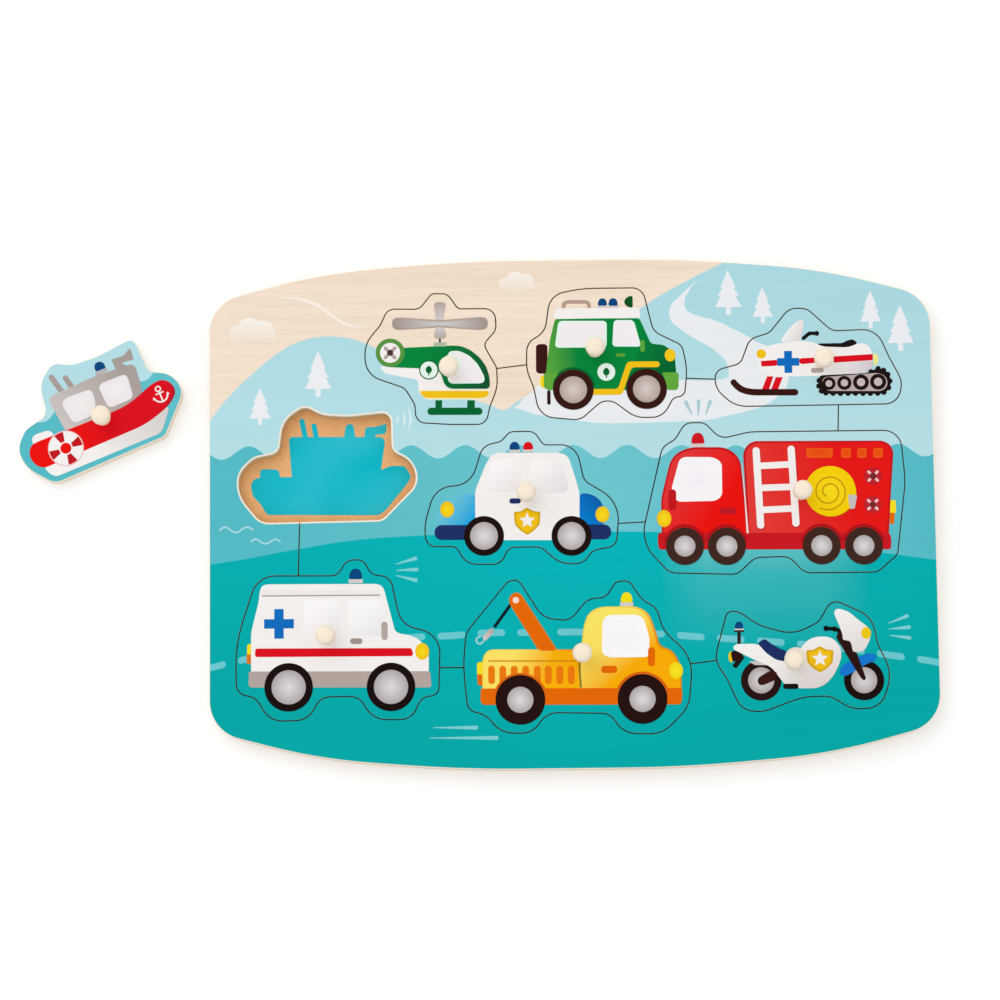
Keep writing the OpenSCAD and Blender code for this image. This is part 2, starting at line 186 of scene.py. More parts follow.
# How wide each edge is sanded round, and within how many metres two points are one
outer_easing, recess_easing, boat_easing, cut_easing = 0.3, 0.75, 0.25, 0.06
touching = 1e-6
vehicles = {
    "helicopter": (-57.9, 64.7), "off_roader": (15.0, 66.4), "snowmobile": (98.7, 63.8),
    "boat": (-101.1, 21.0), "police_car": (-21.0, 6.2), "fire_engine": (83.7, 5.0),
    "ambulance": (-96.9, -52.1), "tow_truck": (1.2, -60.2), "motorcycle": (93.6, -60.7),
}
boat_lies = (-197.8, 46.7)
boat_turn = radians(22.3)
# What puts a spot of the loose boat back in its opening, and up to the height of the others
boat_back = (Vector((*vehicles["boat"], base_top))
             - Matrix.Rotation(-boat_turn, 3, "Z") @ Vector((*boat_lies, 0)))

wood_tint, wood_deep, wood_line = "f9e8d6", "f2dcc4", "dcb993"
hill_high, hill_low, snow_tint = "aedce5", "b9e2e9", "eef0f3"
water_side, water_middle = "56bdc8", "6fc8d2"
# The last of the road's tints is the pale sheen painted on the road, not an ink
road_low, road_high, dash_tint, painted_sheen_tint = "00aaa9", "00b7bd", "76cfd7", "c8f0fa"

# The waves' first crest, length and height, and the dashes' first end and pitch with half of
# a dash, with and without its round ends
wave_crest, wave_length, wave_height = -133.6, 22.4, 2.75
dash_first, dash_pitch, dash_reach, dash_half = -154.5, 16.4, 5.65, 4.3
hill_line = (
    "-162.1,25.6 -148.8,41.2 -140.6,51.1 -130.7,60.4 -120.7,68.4 -111.4,73 -102.1,74.7 -96.2,74.5 "
    "-90.2,73.4 -81.3,69.8 -70.7,64 -54.2,54.1 -38.2,46.6 -32.6,44.9 -27.8,42.9 -24.4,45 "
    "-14.8,51.2 -0.1,62.4 33.5,87.8 50.4,97.3 63,103.5 79.8,111.8 122,130.1 155.8,142.5")
snow_top = (
    "-29.4,42.9 -24.2,43.7 -19.4,47.9 -15.2,51.2 -10.6,54.5 -4.4,55.5 12.2,55.5 37.1,55.2 "
    "60.4,54.5 65.4,55.7 72.6,62.8 90.7,54.6 93.9,50.4 99.3,49.5")
snow_foot = (
    "-29.4,44.4 -24.2,43.8 -14.6,41 -1.4,38.8 11.7,37 24.9,36.9 45.1,37.3 55.7,37.8 66.2,39.8 "
    "75.3,41.9 81.7,44.4 85.9,47.4 89.4,51.3 91.3,55 99.4,55.8")
path_left = (
    "65.3,52.8 65.8,57 65.1,61.2 62.2,65 57.7,68.7 52.8,71.5 47.9,74.7 45.4,76.6 42.3,79.6 "
    "41.4,82.6 42.2,86 46.1,90.2 55,98.5 59.6,102.7")
path_right = (
    "88.9,49.6 90,52.5 90.5,55.4 89.6,60.1 86.3,65.2 82.3,68.5 78.7,69.9 73.9,72.8 68.3,75.8 "
    "59.9,79.8 53,81.8 49.7,83.3 48.4,84.5 48,88.1 50.3,93.1 54.7,98.5 59.7,104.4")
road_line = (
    "-157.9,-22 -150.1,-20.4 -137.3,-18.5 -113,-14.2 -80.4,-10 -58.9,-9 -30,-8.3 18.3,-8.4 36,-8.8 "
    "60.8,-10.3 93.7,-14 128.6,-18.6 150,-21.7 159.4,-23.1")
water_line = "-158,26.2 -71,25.8 11.8,25.1 115.3,24.1 156.7,24.5"
dash_line = (
    "-157.9,-64.9 -146.4,-62.2 -136.1,-59.8 -112.7,-55.6 -88,-52.5 -65,-51.2 -51,-50.8 -34.6,-49.8 "
    "-19.8,-49.8 -1.7,-49.8 18.9,-50.4 36.5,-51.1 46.8,-52 62.4,-53.2 79.6,-54.6 92.7,-55.8 "
    "113.2,-58.3 129.6,-60.8 143.9,-63 154.1,-65.2")


def spots(line):
    """The points of a line written as "x,y x,y", or of one that is a list already."""
    if not isinstance(line, str):
        return line
    return [tuple(map(float, spot.split(","))) for spot in line.split()]


def run(value, line, across=0):
    """How high the line runs at the value, or with across 1, how far across it runs."""
    rows = [p[across] for p in spots(line)]
    heights = [p[1 - across] for p in spots(line)]
    low, high = min(heights), max(heights)
    first, last = min(rows), max(rows)
    points = sorted(((p - first) / (last - first), (h - low) / (high - low))
                    for p, h in zip(rows, heights))
    height = value.node("FloatCurve", {"points": points}, {1: value.within(first, last)})
    return height * (high - low) + low


def scenery(name, shift=(0, 0, 0), turn=0):
    """The printed face: screen inks on birch, whose grain shows through, and a painted sheen."""
    material, start, shader = finish(name)
    place = millimetres(start, shift, turn)
    x, y = place.along(0), place.along(1)
    grain = noise(place, (28, 0.9, 6), 4, 0.55)
    bands = noise(place, (120, 7, 30), 2)
    pores = noise(place, (5, 0.28, 2), 2).within(0.62, 0.72)
    wood = (grain * 0.6 + bands * 0.4).within(0.3, 0.7).tinted(wood_deep, wood_tint)
    wood = (pores * bands * 0.3).tinted(wood, wood_line)

    def past(reach, sharp=5):
        """1 past an edge and 0 before it, soft over 1 / sharp millimetres."""
        return (reach * sharp + 0.5).within()

    def below(line, sharp=5):
        return past(run(x, line) - y, sharp)

    hills = y.within(20, 95).tinted(hill_low, hill_high)
    path = past(x - run(y, path_left, 1)) * past(run(y, path_right, 1) - x) * y.within(50, 50.4)
    snow = start.math("MAXIMUM", below(snow_top) * (1 - below(snow_foot)), path)
    waves = start.math("COSINE", (x - wave_crest) * (2 * pi / wave_length)) * wave_height
    water = past(waves + run(x, water_line) - y)
    deeps = start.math("ABSOLUTE", x - 10).within(0, 140).tinted(water_middle, water_side)
    road = (y + start.math("ABSOLUTE", x) * -0.35).within(-120, -10).tinted(road_low, road_high)
    # How far a spot lies from the straight middle of its dash, which has round ends
    along = start.math("FRACT", (x - dash_first) * (1 / dash_pitch)) * dash_pitch - dash_reach
    past_end = start.math("MAXIMUM", start.math("ABSOLUTE", along) - dash_half, 0)
    aside = y - run(x, dash_line)
    dashes = 1 - start.math("SQRT", past_end * past_end + aside * aside).within(1.25, 1.5)
    # Painted reflection: a pale sheen on the road under the fire engine, fading sideways and down
    painted_sheen = (y.within(-58.1, -25.9) * 0.07 + y.within(-26.7, -18.4) * 0.1) * y.within(-14.7, -16.8)
    painted_sheen = painted_sheen * x.within(35.7, 54.2) * x.within(122.2, 103.7)

    colour = below(hill_line, 1.5).tinted(wood, hills)
    colour = snow.tinted(colour, snow_tint)
    colour = water.tinted(colour, deeps)
    colour = below(road_line).tinted(colour, road)
    colour = (dashes * 0.85).tinted(colour, dash_tint)
    colour = painted_sheen.tinted(colour, painted_sheen_tint)
    streaks = (grain * 0.5 + bands * 0.5).within(0.35, 0.65)
    colour = colour.times(streaks.tinted((0.955, 0.965, 0.965, 1), (1, 1, 1, 1)))
    cover(shader, colour, grain * 0.16 + 0.36, 0.035, grain)
    return material


def plywood(name, bare_tints, pricked_tints, shift=(0, 0, 0), turn=0):
    """The sawn edge: long grain and end grain by turns, with thin lines of glue between."""
    material, start, shader = finish(name)
    place = millimetres(start, shift, turn)
    z = place.along(2)
    layer = (z - base_top) * (1 / ply)
    crosswise = start.math("PINGPONG", layer + 0.5, 1.0).within(0.42, 0.58)
    glue = start.math("ABSOLUTE", start.math("FRACT", layer) - 0.5).within(0.43, 0.49)
    inside = z.within(base_top + 0.3, base_top + 0.5) * (
        1 - z.within(face_top - 0.7, face_top - 0.5))
    long_grain = noise(place, (6, 6, 0.15), 3)
    end_grain = noise(place, (0.25, 0.25, 0.2), 3)
    bare = long_grain.within(0.3, 0.7).tinted(*bare_tints)
    pricked = end_grain.within(0.3, 0.7).tinted(*pricked_tints)
    colour = (glue * inside * 0.35).tinted(crosswise.tinted(bare, pricked), "a88258")
    cover(shader, colour, end_grain * 0.2 + 0.55, 0.1, end_grain, 0.3, 0.05)
    return material


printed_face = scenery("printed birch face")
sawn_edge = plywood("sawn birch plywood", ("d3b78c", "e6d0ac"), ("bf9e6f", "d4b88c"))
# Paler copies of the same plywood for the outer wall and the loose boat's wall: painted light
painted_light_outer_edge = plywood("sanded outer edge with painted light", ("f1e6d2", "fbf3e6"), ("e6d6ba", "f2e6d0"))
boat_face = scenery("printed birch face of the boat", boat_back, -boat_turn)
painted_light_boat_edge = plywood("sawn birch plywood of the boat with painted light", ("f4e8d4", "fdf7ec"), ("ead8ba", "f6ead6"),
                    boat_back, -boat_turn)

bare_rim, start, shader = finish("sanded birch rim")
grain = noise(millimetres(start), (5, 0.9, 3), 3)
cover(shader, grain.within(0.3, 0.7).tinted("f8e8d2", "fff6e8"), grain * 0.2 + 0.5, 0.1)
# The places of a sheet's finishes, after the printed one
sawn, bare, outer = 1, 2, 3


def built(name, shape, finishes, place=Matrix()):
    """The shape as an object of the scene, finished and in its place."""
    mesh = bpy.data.meshes.new(name)
    shape.to_mesh(mesh)
    mesh.transform(place)
    for surface in finishes:
        mesh.materials.append(surface)
    thing = bpy.data.objects.new(name, mesh)
    bpy.context.scene.collection.objects.link(thing)
    return thing


def piece(name, shape, finishes, body, place=Matrix(), node=None):
    """A piece of the puzzle that moves with the body, and stands for its CAD node if it has one."""
    thing = built(name, shape, finishes, place)
    if node:
        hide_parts(node)
    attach(thing, body)
    return thing


def sanded(node, eased, body, finishes):
    """The sawn sheet of a CAD node with its upper edges rounded: eased gives an edge's width."""
    sheet = bmesh.new()
    sheet.from_mesh(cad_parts[node].data)
    bmesh.ops.remove_doubles(sheet, verts=sheet.verts, dist=touching)
    bmesh.ops.dissolve_limit(
        sheet, angle_limit=radians(0.1), verts=sheet.verts, edges=sheet.edges)
    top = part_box(node)[1].z
    widths = {}
    for edge in sheet.edges:
        if all(v.co.z > top - touching for v in edge.verts) and edge.calc_face_angle(0) > 1:
            widths.setdefault(eased((edge.verts[0].co + edge.verts[1].co) / 2), []).append(edge)
    for width, edges in sorted(widths.items(), reverse=True):
        bmesh.ops.bevel(
            sheet, geom=[edge for edge in edges if edge.is_valid], offset=width / 1000,
            segments=3, profile=0.5, affect="EDGES", material=-1)
    bmesh.ops.remove_doubles(sheet, verts=sheet.verts, dist=touching)
    bmesh.ops.recalc_face_normals(sheet, faces=sheet.faces)
    for face in sheet.faces:
        middle = face.calc_center_median()
        width = eased(middle)
        if middle.z < top - width / 1000 - 10 * touching or face.normal.z < 0.05:
            face.material_index = outer if width == outer_easing else sawn
        elif width > cut_easing and face.normal.z < 0.98:
            face.material_index = bare
    piece(node + "_sanded", sheet, finishes, body, node=node)
    sheet.free()


def board_easing(middle):
    """How wide the edge at this place of the face is sanded round."""
    x, y = middle.x * 1000, middle.y * 1000
    long_edge = 102.5 - 19 * (x / 140) ** 2
    if abs(x) > 139.6 or abs(y) > long_edge:
        return outer_easing
    recess_top = 47 if x < -72 else 34
    if abs(x - vehicles["boat"][0]) < 38.5 and -4.5 < y < recess_top:
        return recess_easing
    return cut_easing


sanded("face_frame", board_easing, "board",
       [printed_face, sawn_edge, bare_rim, painted_light_outer_edge])

# The small things printed on the face between the vehicles: firs, clouds, wind, waves and
# beams. Each is a flat film of ink on the scenery, with soft ends.
white, mint = "f7f3f1", "e9f8f0"
fir_tint, cloud_tint, cloud_foot, breeze_tint = "eff1f4", "fbf4ec", "f5e2cc", "fbf0e3"
wind_tint, beam_tint, ripple_tint, track_tint = "d8f1f4", "7fd2d6", "a8dce4", "aed0d8"
# The thickness of a film of ink, and by how much each shape stands proud of the one before it
film, proud = 0.02, 0.002
laid = {}


def new_print():
    """An empty print, in which each shape keeps its deep tint, its pale tint and their fade."""
    art = bmesh.new()
    art.verts.layers.float_color.new("deep")
    art.verts.layers.float_color.new("pale")
    art.verts.layers.float.new("fade")
    laid[art] = 0
    return art


def ink(art, faces, colour, step, pale=None, fade=None):
    """Lays the flat faces as the print's film number step, just above the shapes before them."""
    laid[art] += 1
    deep_layer, pale_layer = (art.verts.layers.float_color[n] for n in ("deep", "pale"))
    fade_layer = art.verts.layers.float["fade"]
    centres = ()
    if pale and not fade:
        poked = bmesh.ops.poke(art, faces=faces, center_mode="MEAN_WEIGHTED")
        faces, centres = poked["faces"], poked["verts"]
    points = {v for f in faces for v in f.verts}
    deep_tint, pale_tint = tint(colour), tint(pale or colour)
    for v in points:
        v[deep_layer], v[pale_layer] = deep_tint, pale_tint
        v[fade_layer] = fade(v.co) if fade else float(v in centres)
        v.co.z = -film
    raised = bmesh.ops.extrude_face_region(art, geom=faces)["geom"]
    tops = [v for v in raised if isinstance(v, bmesh.types.BMVert)]
    bmesh.ops.translate(art, verts=tops, vec=(0, 0, film * (step + 1) + proud * laid[art]))
    shell = {f for v in points for f in v.link_faces} | {f for v in tops for f in v.link_faces}
    bmesh.ops.recalc_face_normals(art, faces=list(shell))


def shade(first, last):
    """A fade that runs from 0 at the point first to 1 at the point last."""
    first, last = Vector(first), Vector(last)
    along = last - first
    return lambda at: (at.xy - first).dot(along) / along.length_squared


def patch(art, corners, colour, step=1, bend=0.8, pale=None, fade=None):
    """A flat shape whose corners are rounded, each by up to bend millimetres."""
    points = [art.verts.new((x, y, 0)) for x, y in spots(corners)]
    face = art.faces.new(points)
    # A bend takes up a little less than half of the sides that meet at its corner
    halves = [0.48 * (points[k].co - points[k - 1].co).length for k in range(len(points))]
    bends = [min(bend, *pair) for pair in zip(halves, halves[1:] + halves[:1])]
    for point, offset in zip(points, bends):
        if offset > 0.02:
            rounded = bmesh.ops.bevel(
                art, geom=[point], offset=offset, segments=max(2, round(offset * 3)),
                profile=0.5, affect="VERTICES", material=-1, clamp_overlap=False)
            face = rounded["verts"][0].link_faces[0]
    ink(art, [face], colour, step, pale, fade)


def disc(art, at, radius, colour, step=1, pale=None, fade=None):
    """A round or oval spot, paler towards its middle if it has a pale tint and no fade."""
    wide, tall = radius if isinstance(radius, tuple) else (radius, radius)
    place = Matrix.Translation((*at, 0)) @ Matrix.Diagonal((wide, tall, 1, 1))
    made = bmesh.ops.create_circle(
        art, cap_ends=True, radius=1, segments=48 if wide > 2 else 24, matrix=place)
    ink(art, made["verts"][0].link_faces[:1], colour, step, pale, fade)


def bar(art, first, last, width, colour, step=1, pale=None, fade=None):
    """A straight stroke with round ends, from first to last."""
    along = (Vector(last) - Vector(first)).normalized() * width / 2
    aside = Vector((-along.y, along.x))
    ends = Vector(first) - along, Vector(last) + along
    patch(art, [ends[0] + aside, ends[0] - aside, ends[1] - aside, ends[1] + aside],
          colour, step, width * 0.48, pale, fade)


def stroke(art, points, widths, colour, step=1, bend=3, pale=None, fade=None):
    """A bent stroke through the points, as wide at each as widths says."""
    points = [Vector(p) for p in spots(points)]
    if not isinstance(widths, (tuple, list)):
        widths = [widths] * len(points)
    left, right = [], []
    for k, (at, width) in enumerate(zip(points, widths)):
        before = (at - points[k - 1]).normalized() if k else Vector((0, 0))
        after = (points[k + 1] - at).normalized() if k + 1 < len(points) else Vector((0, 0))
        along = (before + after).normalized()
        reach = width / 2 / max(0.5, along.dot(after if k + 1 < len(points) else before))
        aside = Vector((-along.y, along.x)) * reach
        left.append(at + aside)
        right.append(at - aside)
    patch(art, right + left[::-1], colour, step, bend, pale, fade)


def arc(art, at, radius, width, first, last, colour, step=1):
    """A band of a ring, from the angle first to the angle last in degrees."""
    turn = Matrix.Translation((*at, 0)) @ Matrix.Rotation(radians(first), 4, "Z")
    ends = [art.verts.new(turn @ Vector((radius + k * width / 2, 0, 0))) for k in (-1, 1)]
    before = set(art.faces)
    bmesh.ops.spin(
        art, geom=[art.edges.new(ends), *ends], cent=(*at, 0), axis=(0, 0, 1),
        angle=radians(last - first), steps=max(4, round((last - first) / 9)),
        use_merge=last - first == 360)
    ink(art, [face for face in art.faces if face not in before], colour, step)


printed_ink, start, shader = finish("printed ink")
place = millimetres(start)
deep, pale, fade = (
    start.node("Attribute", {"attribute_name": n}, out=o)
    for n, o in (("deep", "Color"), ("pale", "Color"), ("fade", "Fac")))
grain = noise(place, (28, 0.9, 6), 4, 0.55)
dots = noise(place, (0.5, 0.5, 0.5), 2)
streaks = (grain * 0.7 + dots * 0.3).within(0.35, 0.65)
colour = fade.within().tinted(deep, pale).times(
    streaks.tinted((0.96, 0.965, 0.965, 1), (1, 1, 1, 1)))
cover(shader, colour, grain * 0.14 + 0.34, 0.035, grain)


def shown(art, name, body, middle, height, turn=0, inks=printed_ink):
    """The print as a piece, with its middle where it belongs."""
    place = (Matrix.Translation((middle[0] / 1000, middle[1] / 1000, height / 1000))
             @ Matrix.Rotation(turn, 4, "Z") @ Matrix.Scale(0.001, 4))
    piece(name, art, [inks], body, place)


marks = new_print()
# Half of a fir, which has three tiers and a short trunk, in shares of its width and height
fir_half = spots("0,0 0.3,0.395 0.2,0.39 0.41,0.587 0.28,0.58 0.5,0.825 0.095,0.825 0.095,1")
for (x, y), foot, width in (
        ((-104.8, 68.6), 49.3, 11.2), ((-128.9, 53.3), 37.8, 9.1), ((66.1, 101), 81.9, 11),
        ((80.3, 93.6), 78.3, 8.6), ((125.2, 91.6), 75.7, 8.8), ((137.4, 85.3), 65.9, 11)):
    right = [(x + width * a, y - (y - foot) * b) for a, b in fir_half]
    left = [(2 * x - a, b) for a, b in right[:0:-1]]
    patch(marks, right + left, fir_tint, 1, 0.25)

for lobes, top, foot in (
        ((((-137.6, 76), 4.08), ((-133.3, 77.9), 5.01), ((-127.6, 76.9), 4.88),
          ((-124.7, 74.8), 2.9)), (-133.9, 82), (-133.9, 71.2)),
        ((((-26.6, 96), 2.9), ((-22.3, 96.9), 4.28), ((-18.3, 96.5), 3.82),
          ((-16.3, 95.2), 2.24)), (-21.9, 100.6), (-22, 91.8))):
    for step, (at, radius) in enumerate(lobes, 1):
        disc(marks, at, radius, cloud_tint, step, cloud_foot, shade(top, foot))
stroke(marks, "-122,91.3 -116.7,91.4 -111.3,90.5 -107.4,89.2 -103.4,87.2 -99.8,84.3 -96.8,81.9 "
       "-92.1,79.3 -88.2,78.4 -83.5,78.2",
       (0.1, 0.8, 1.3, 1.5, 1.5, 1.4, 1.2, 1.0, 0.7, 0.2), breeze_tint)
for points in ("-72.2,41.6 -71.6,39.6 -72.3,37.5", "-69.7,43.1 -68.7,39.6 -69.8,36.1",
               "-67.5,44.6 -66.2,39.6 -67.5,34.6"):
    stroke(marks, points, (0.3, 1.2, 0.3), wind_tint, 1, 2)
for points in ("-145.9,-6.2 -144.3,-4.8 -142.9,-4.7 -141.2,-6.1 -139.8,-7 -138.3,-7 -136.9,-6.1 "
               "-135.4,-4.9 -133.7,-4.8 -131.7,-6.2",
               "-133,-11.1 -131.7,-10 -130.4,-9.8 -128.9,-11 -127.6,-11.8 -126,-11.9 -124.4,-10.7 "
               "-123.2,-10 -121.9,-10.1 -120.5,-11.2"):
    stroke(marks, points, 0.75, ripple_tint)
for first, last in (((-73.3, -21), (-64.2, -18.4)), ((-73, -23.5), (-63.7, -23.2)),
                    ((-73.1, -25.6), (-64.1, -27.9)), ((129.2, -47.7), (137.7, -44.5)),
                    ((129.2, -50.1), (138.5, -49.3)), ((129.5, -52.6), (138.6, -53.9))):
    stroke(marks, (first, last), (0.3, 1.7), beam_tint, 1, 0.8)
for first, last in (((47.4, 45.9), (50.1, 40)), ((53, 46.4), (52.7, 39.8)),
                    ((58, 46), (55.7, 40))):
    stroke(marks, (first, last), (1.6, 0.5), track_tint, 1, 0.5)
for first, last in (((-58.2, -88.5), (-39.9, -88.7)), ((-59.8, -92.7), (-31.6, -93))):
    stroke(marks, (first, last), (0.3, 1.7), beam_tint, 1, 0.6)
shown(marks, "face_marks", "board", (0, 0), face_top)

# The vehicles: sawn from the printed face, so the scenery runs on over them. Each carries its
# own picture in flat inks, laid one on the other, and all share the tints below.
red, red_deep, red_dark = "ee0f08", "de0d1e", "c4141d"
green, green_dark, leaf_green = "00873c", "00662f", "5aa63a"
yellow, lemon, orange = "f5c314", "fbe11e", "e86900"
blue, blue_deep, lamp_blue, navy = "0f6cc0", "0a4f9e", "064680", "1c2f66"
grey, grey_pale, grey_dark = "b5a6a0", "d6cfcc", "a3958f"
shadow_white = "dfd8d6"
pictures = {}


def vehicle(name):
    """The vehicle's piece of the face, and an empty print for its picture."""
    loose = name == "boat"
    sanded(name + "_piece", lambda middle: boat_easing if loose else cut_easing, name,
           [boat_face if loose else printed_face, painted_light_boat_edge if loose else sawn_edge, bare_rim])
    pictures[name] = new_print()
    return pictures[name]


def wheel(art, at, radius, hub, colour, step, hub_tints=("b0a8a8", "e4dfdf")):
    """A tyre with a plain hub that is paler in its middle."""
    disc(art, at, radius, colour, step)
    disc(art, at, hub, hub_tints[0], step + 1, hub_tints[1])


def dome(art, box, colour, base, step=1):
    """A warning lamp: a coloured dome on a grey foot."""
    (left, low), (right, high) = box
    wide, tall = right - left, high - low
    patch(art, ((left, low), (left + 0.12 * wide, high - 0.3 * tall), (left + 0.3 * wide, high),
                (right - 0.3 * wide, high), (right - 0.12 * wide, high - 0.3 * tall),
                (right, low)), colour, step, 0.22 * wide)
    patch(art, ((left, low - base), (left, low), (right, low), (right, low - base)),
          grey_pale, step, 0.15)


def pane(art, corners, step, bend):
    """A window: pale mint round a clear middle with a hint of pink."""
    corners = [Vector(c) for c in spots(corners)]
    patch(art, corners, mint, step, bend)
    middle = sum(corners, Vector((0, 0))) / len(corners)
    patch(art, [middle + (c - middle) * 0.87 for c in corners], "f6f0f3", step + 1, 0.8 * bend)


def badge(art, at, radius, step):
    """A plain white roundel with a leaf."""
    disc(art, at, radius, mint, step)
    x, y = at
    r = radius
    patch(art, ((x, y + 0.62 * r), (x + 0.42 * r, y + 0.1 * r), (x + 0.28 * r, y - 0.3 * r),
                (x, y - 0.45 * r), (x - 0.28 * r, y - 0.3 * r), (x - 0.42 * r, y + 0.1 * r)),
          green_dark, step + 1, 0.3 * r)
    bar(art, (x, y - 0.3 * r), (x, y - 0.62 * r), 0.14 * r, green_dark, step + 1)


def cross(art, at, reach, width, colour, step):
    """An upright cross with four arms."""
    half = width / 2
    arm = (reach, -half), (reach, half), (half, half)
    patch(art, [Vector(at) + Matrix.Rotation(radians(90 * k), 2) @ Vector(p)
                for k in range(4) for p in arm], colour, step, 0.12)


def star_shield(art, at, half, tall, step):
    """A yellow shield with a darker rim and a white star."""
    x, y = at
    for grow, colour in ((1, "dba90f"), (0.84, yellow)):
        wide, high = half * grow, tall * grow
        patch(art, ((x - wide, y + 0.42 * high), (x - 0.45 * wide, y + 0.45 * high),
                    (x, y + 0.62 * high), (x + 0.45 * wide, y + 0.45 * high),
                    (x + wide, y + 0.42 * high), (x + 0.92 * wide, y - 0.15 * high),
                    (x + 0.5 * wide, y - 0.42 * high), (x, y - 0.62 * high),
                    (x - 0.5 * wide, y - 0.42 * high), (x - 0.92 * wide, y - 0.15 * high)),
              colour, step, 0.5)
        step += 1
    outer_reach = 0.62 * half
    points = []
    for k in range(10):
        reach = outer_reach * (0.45 if k % 2 else 1)
        points.append((x + reach * sin(k * pi / 5), y + 0.03 * tall + reach * cos(k * pi / 5)))
    patch(art, points, white, step, 0.12)


# The helicopter: a piece of the face's birch plywood, sawn out whole, with a peg glued in. Its
# print is flat ink: a green cabin and tail boom on a white belly, and a grey rotor.
art = vehicle("helicopter")
patch(art, "-21.4,-2.9 -3.6,-3.5 8.4,-4.3 8.3,-12.7 24.2,-13.1 24.1,-13.7 -5.2,-13.4 -5.5,-8.7 "
      "-18.9,-5.9", white, 1)
patch(art, "-12.2,4.8 8.4,5.6 12.4,5.4 16.4,3.7 20.3,0.4 23.1,-3.6 24.4,-8.5 24.4,-12.8 7.5,-12.6 "
      "5.4,-10.7 4.6,-7.5 3.2,-4.8 -5,-3.9 -18.3,-3.2",
      green, 2, 1.6, "0c5230", shade((-1.5, 1.1), (24.2, -8.9)))
tail = (-16.9, 2.8)
disc(art, tail, 6.01, "599541", 3)
disc(art, tail, 4.19, white, 4)
bar(art, (-18.9, 4.8), (-15, 0.7), 1.42, grey, 5)
bar(art, (-18.9, 0.8), (-14.9, 4.8), 1.42, grey, 5)
disc(art, tail, 1.26, "4a352e", 6)
pane(art, "7.6,3.2 11.6,3.4 16,1.3 19.5,-2.4 22.2,-7.7 22.2,-9.7 20.8,-10.5 8.3,-10.5 6.9,-9.1 "
     "6.9,1", 3, 1.4)
disc(art, (8.4, -2.6), 4.35, "e6f8ec", 4)
patch(art, "-5.1,-12.8 24.3,-13.1 24.2,-14.7 23.5,-16.1 21.7,-17.3 -2.1,-17 -5,-14.2",
      "f8f3cf", 1, 0.8)
patch(art, "-4.8,-13.4 24.1,-13.7 23.7,-15.7 21.7,-16.7 -2.5,-16.4 -4,-15", yellow, 2, 1.2)
for corners in ("1.7,-17.4 4.5,-17.4 4.4,-20.7 1.7,-20.7",
                "15,-17.5 18.1,-17.6 18,-20.9 14.9,-20.8"):
    patch(art, corners, green_dark, 1, 0)
bar(art, (-0.1, -22), (19.7, -22.2), 3, green_dark, 2)
patch(art, "-15.7,17.2 -13.3,17.7 2,16.5 5.8,16.4 20.9,17.5 23.5,17 23.9,14.7 23.4,12.6 20.8,12 "
      "5.7,13.2 2,13.2 -13.4,12.4 -15.6,12.9 -16.1,15.1", grey_dark, 2, 1.8, grey_pale)
patch(art, "1.4,23.1 2.3,24 5.7,24 6.5,22.9 5.3,16.4 2.2,16.5",
      grey, 3, 0.6, grey_pale, shade((3.8, 24), (3.8, 16.4)))
patch(art, "2,13.4 5.7,13.3 6.6,9.7 5.5,8.5 2.3,8.5 1.3,9.5",
      grey, 3, 0.6, grey_pale, shade((3.7, 8.5), (3.7, 13.3)))
patch(art, "3.4,8.7 4.2,8.7 4.2,6.7 3.4,6.8", "4a3a36", 1, 0)
patch(art, "1.3,7 6.5,7 6.5,5.2 1.3,5.3", "a9bfa3", 1, 0.2)
disc(art, (-0.9, -4.6), 4.03, green_dark, 3)
badge(art, (-0.9, -4.6), 3.56, 4)

# The off-roader: sawn from the same plywood, and loose in its opening by one saw cut. Printed
# green with a white roof, a spare wheel behind and a yellow stripe along its side.
art = vehicle("off_roader")
bar(art, (-24.1, -16.1), (-24.1, -20.8), 1.45, "2b1512", 1)
patch(art, "-29.2,3.4 -28,4.1 -25.3,4.1 -24.4,3.4 -24.5,-7.7 -25.5,-8.4 -28.1,-8.4 -29.3,-7.6",
      "3a1512", 1, 0.9)
patch(art, "-27.3,-9.3 -25,-8.8 -25,-14.6 -27.4,-14.2 -27.8,-11.8",
      yellow, 1, 0.8, lemon, shade((-25, -11.8), (-27.8, -11.8)))
patch(art, "-21.1,14.8 14,14.5 18.6,3.7 23.7,3.2 28.3,0.1 28.9,-8.6 28.9,-10.7 23.5,-11.3 "
      "20.1,-15.8 -23.6,-15.3 -25.4,-10 -24.6,-3.3 -23.3,6.1",
      "55a53c", 2, 1.2, green, shade((-24, -3.3), (-12.1, -2.1)))
patch(art, "9.3,14.5 14,14.5 18.6,3.7 23.7,3.2 28.3,0.1 28.9,-8.6 10.2,-10.4 13.1,0.3",
      green, 3, 1.0, green_dark, shade((9.1, 3), (24.9, -5.2)))
patch(art, "-21,19 14,19 14.5,14.7 -21.7,14.6", white, 3, 0.9)
pane(art, "-19.7,13.8 0.4,13.6 0.2,2.3 -21.4,2.5", 4, 1.6)
pane(art, "3.3,13.9 11.6,13.8 14.6,2.5 2.5,2.7", 4, 1.5)
disc(art, (-4.5, 3.4), 4.35, mint, 5)
bar(art, (15.1, 4.3), (15.1, 1.3), 1.98, leaf_green, 5)
bar(art, (4.6, -0.9), (7.2, -0.9), 1.45, leaf_green, 4)
for at in ((-13.9, -15), (16.5, -15.1)):
    arc(art, at, 8.7, 0.92, 8, 172, green_dark, 4)
patch(art, "-26,-8.2 -20,-8.2 -22.1,-11.4 -22.6,-15.4 -23.8,-15.6 -26.1,-14.2", "63aa3c", 5, 0.7)
patch(art, "22.9,-8.4 29.8,-8.5 29.8,-14.7 29,-15.9 25,-15.8 24.4,-11.9", "63aa3c", 5, 0.8)
stroke(art, "-8,-16.3 5.5,-16.4 9.5,-4.9 22.1,-5", 2.44, yellow, 5, 1.4)
disc(art, (26.5, -1.2), (2.24, 2.64), "f5cb1a", 5)
badge(art, (-0.1, -8), 3.69, 5)
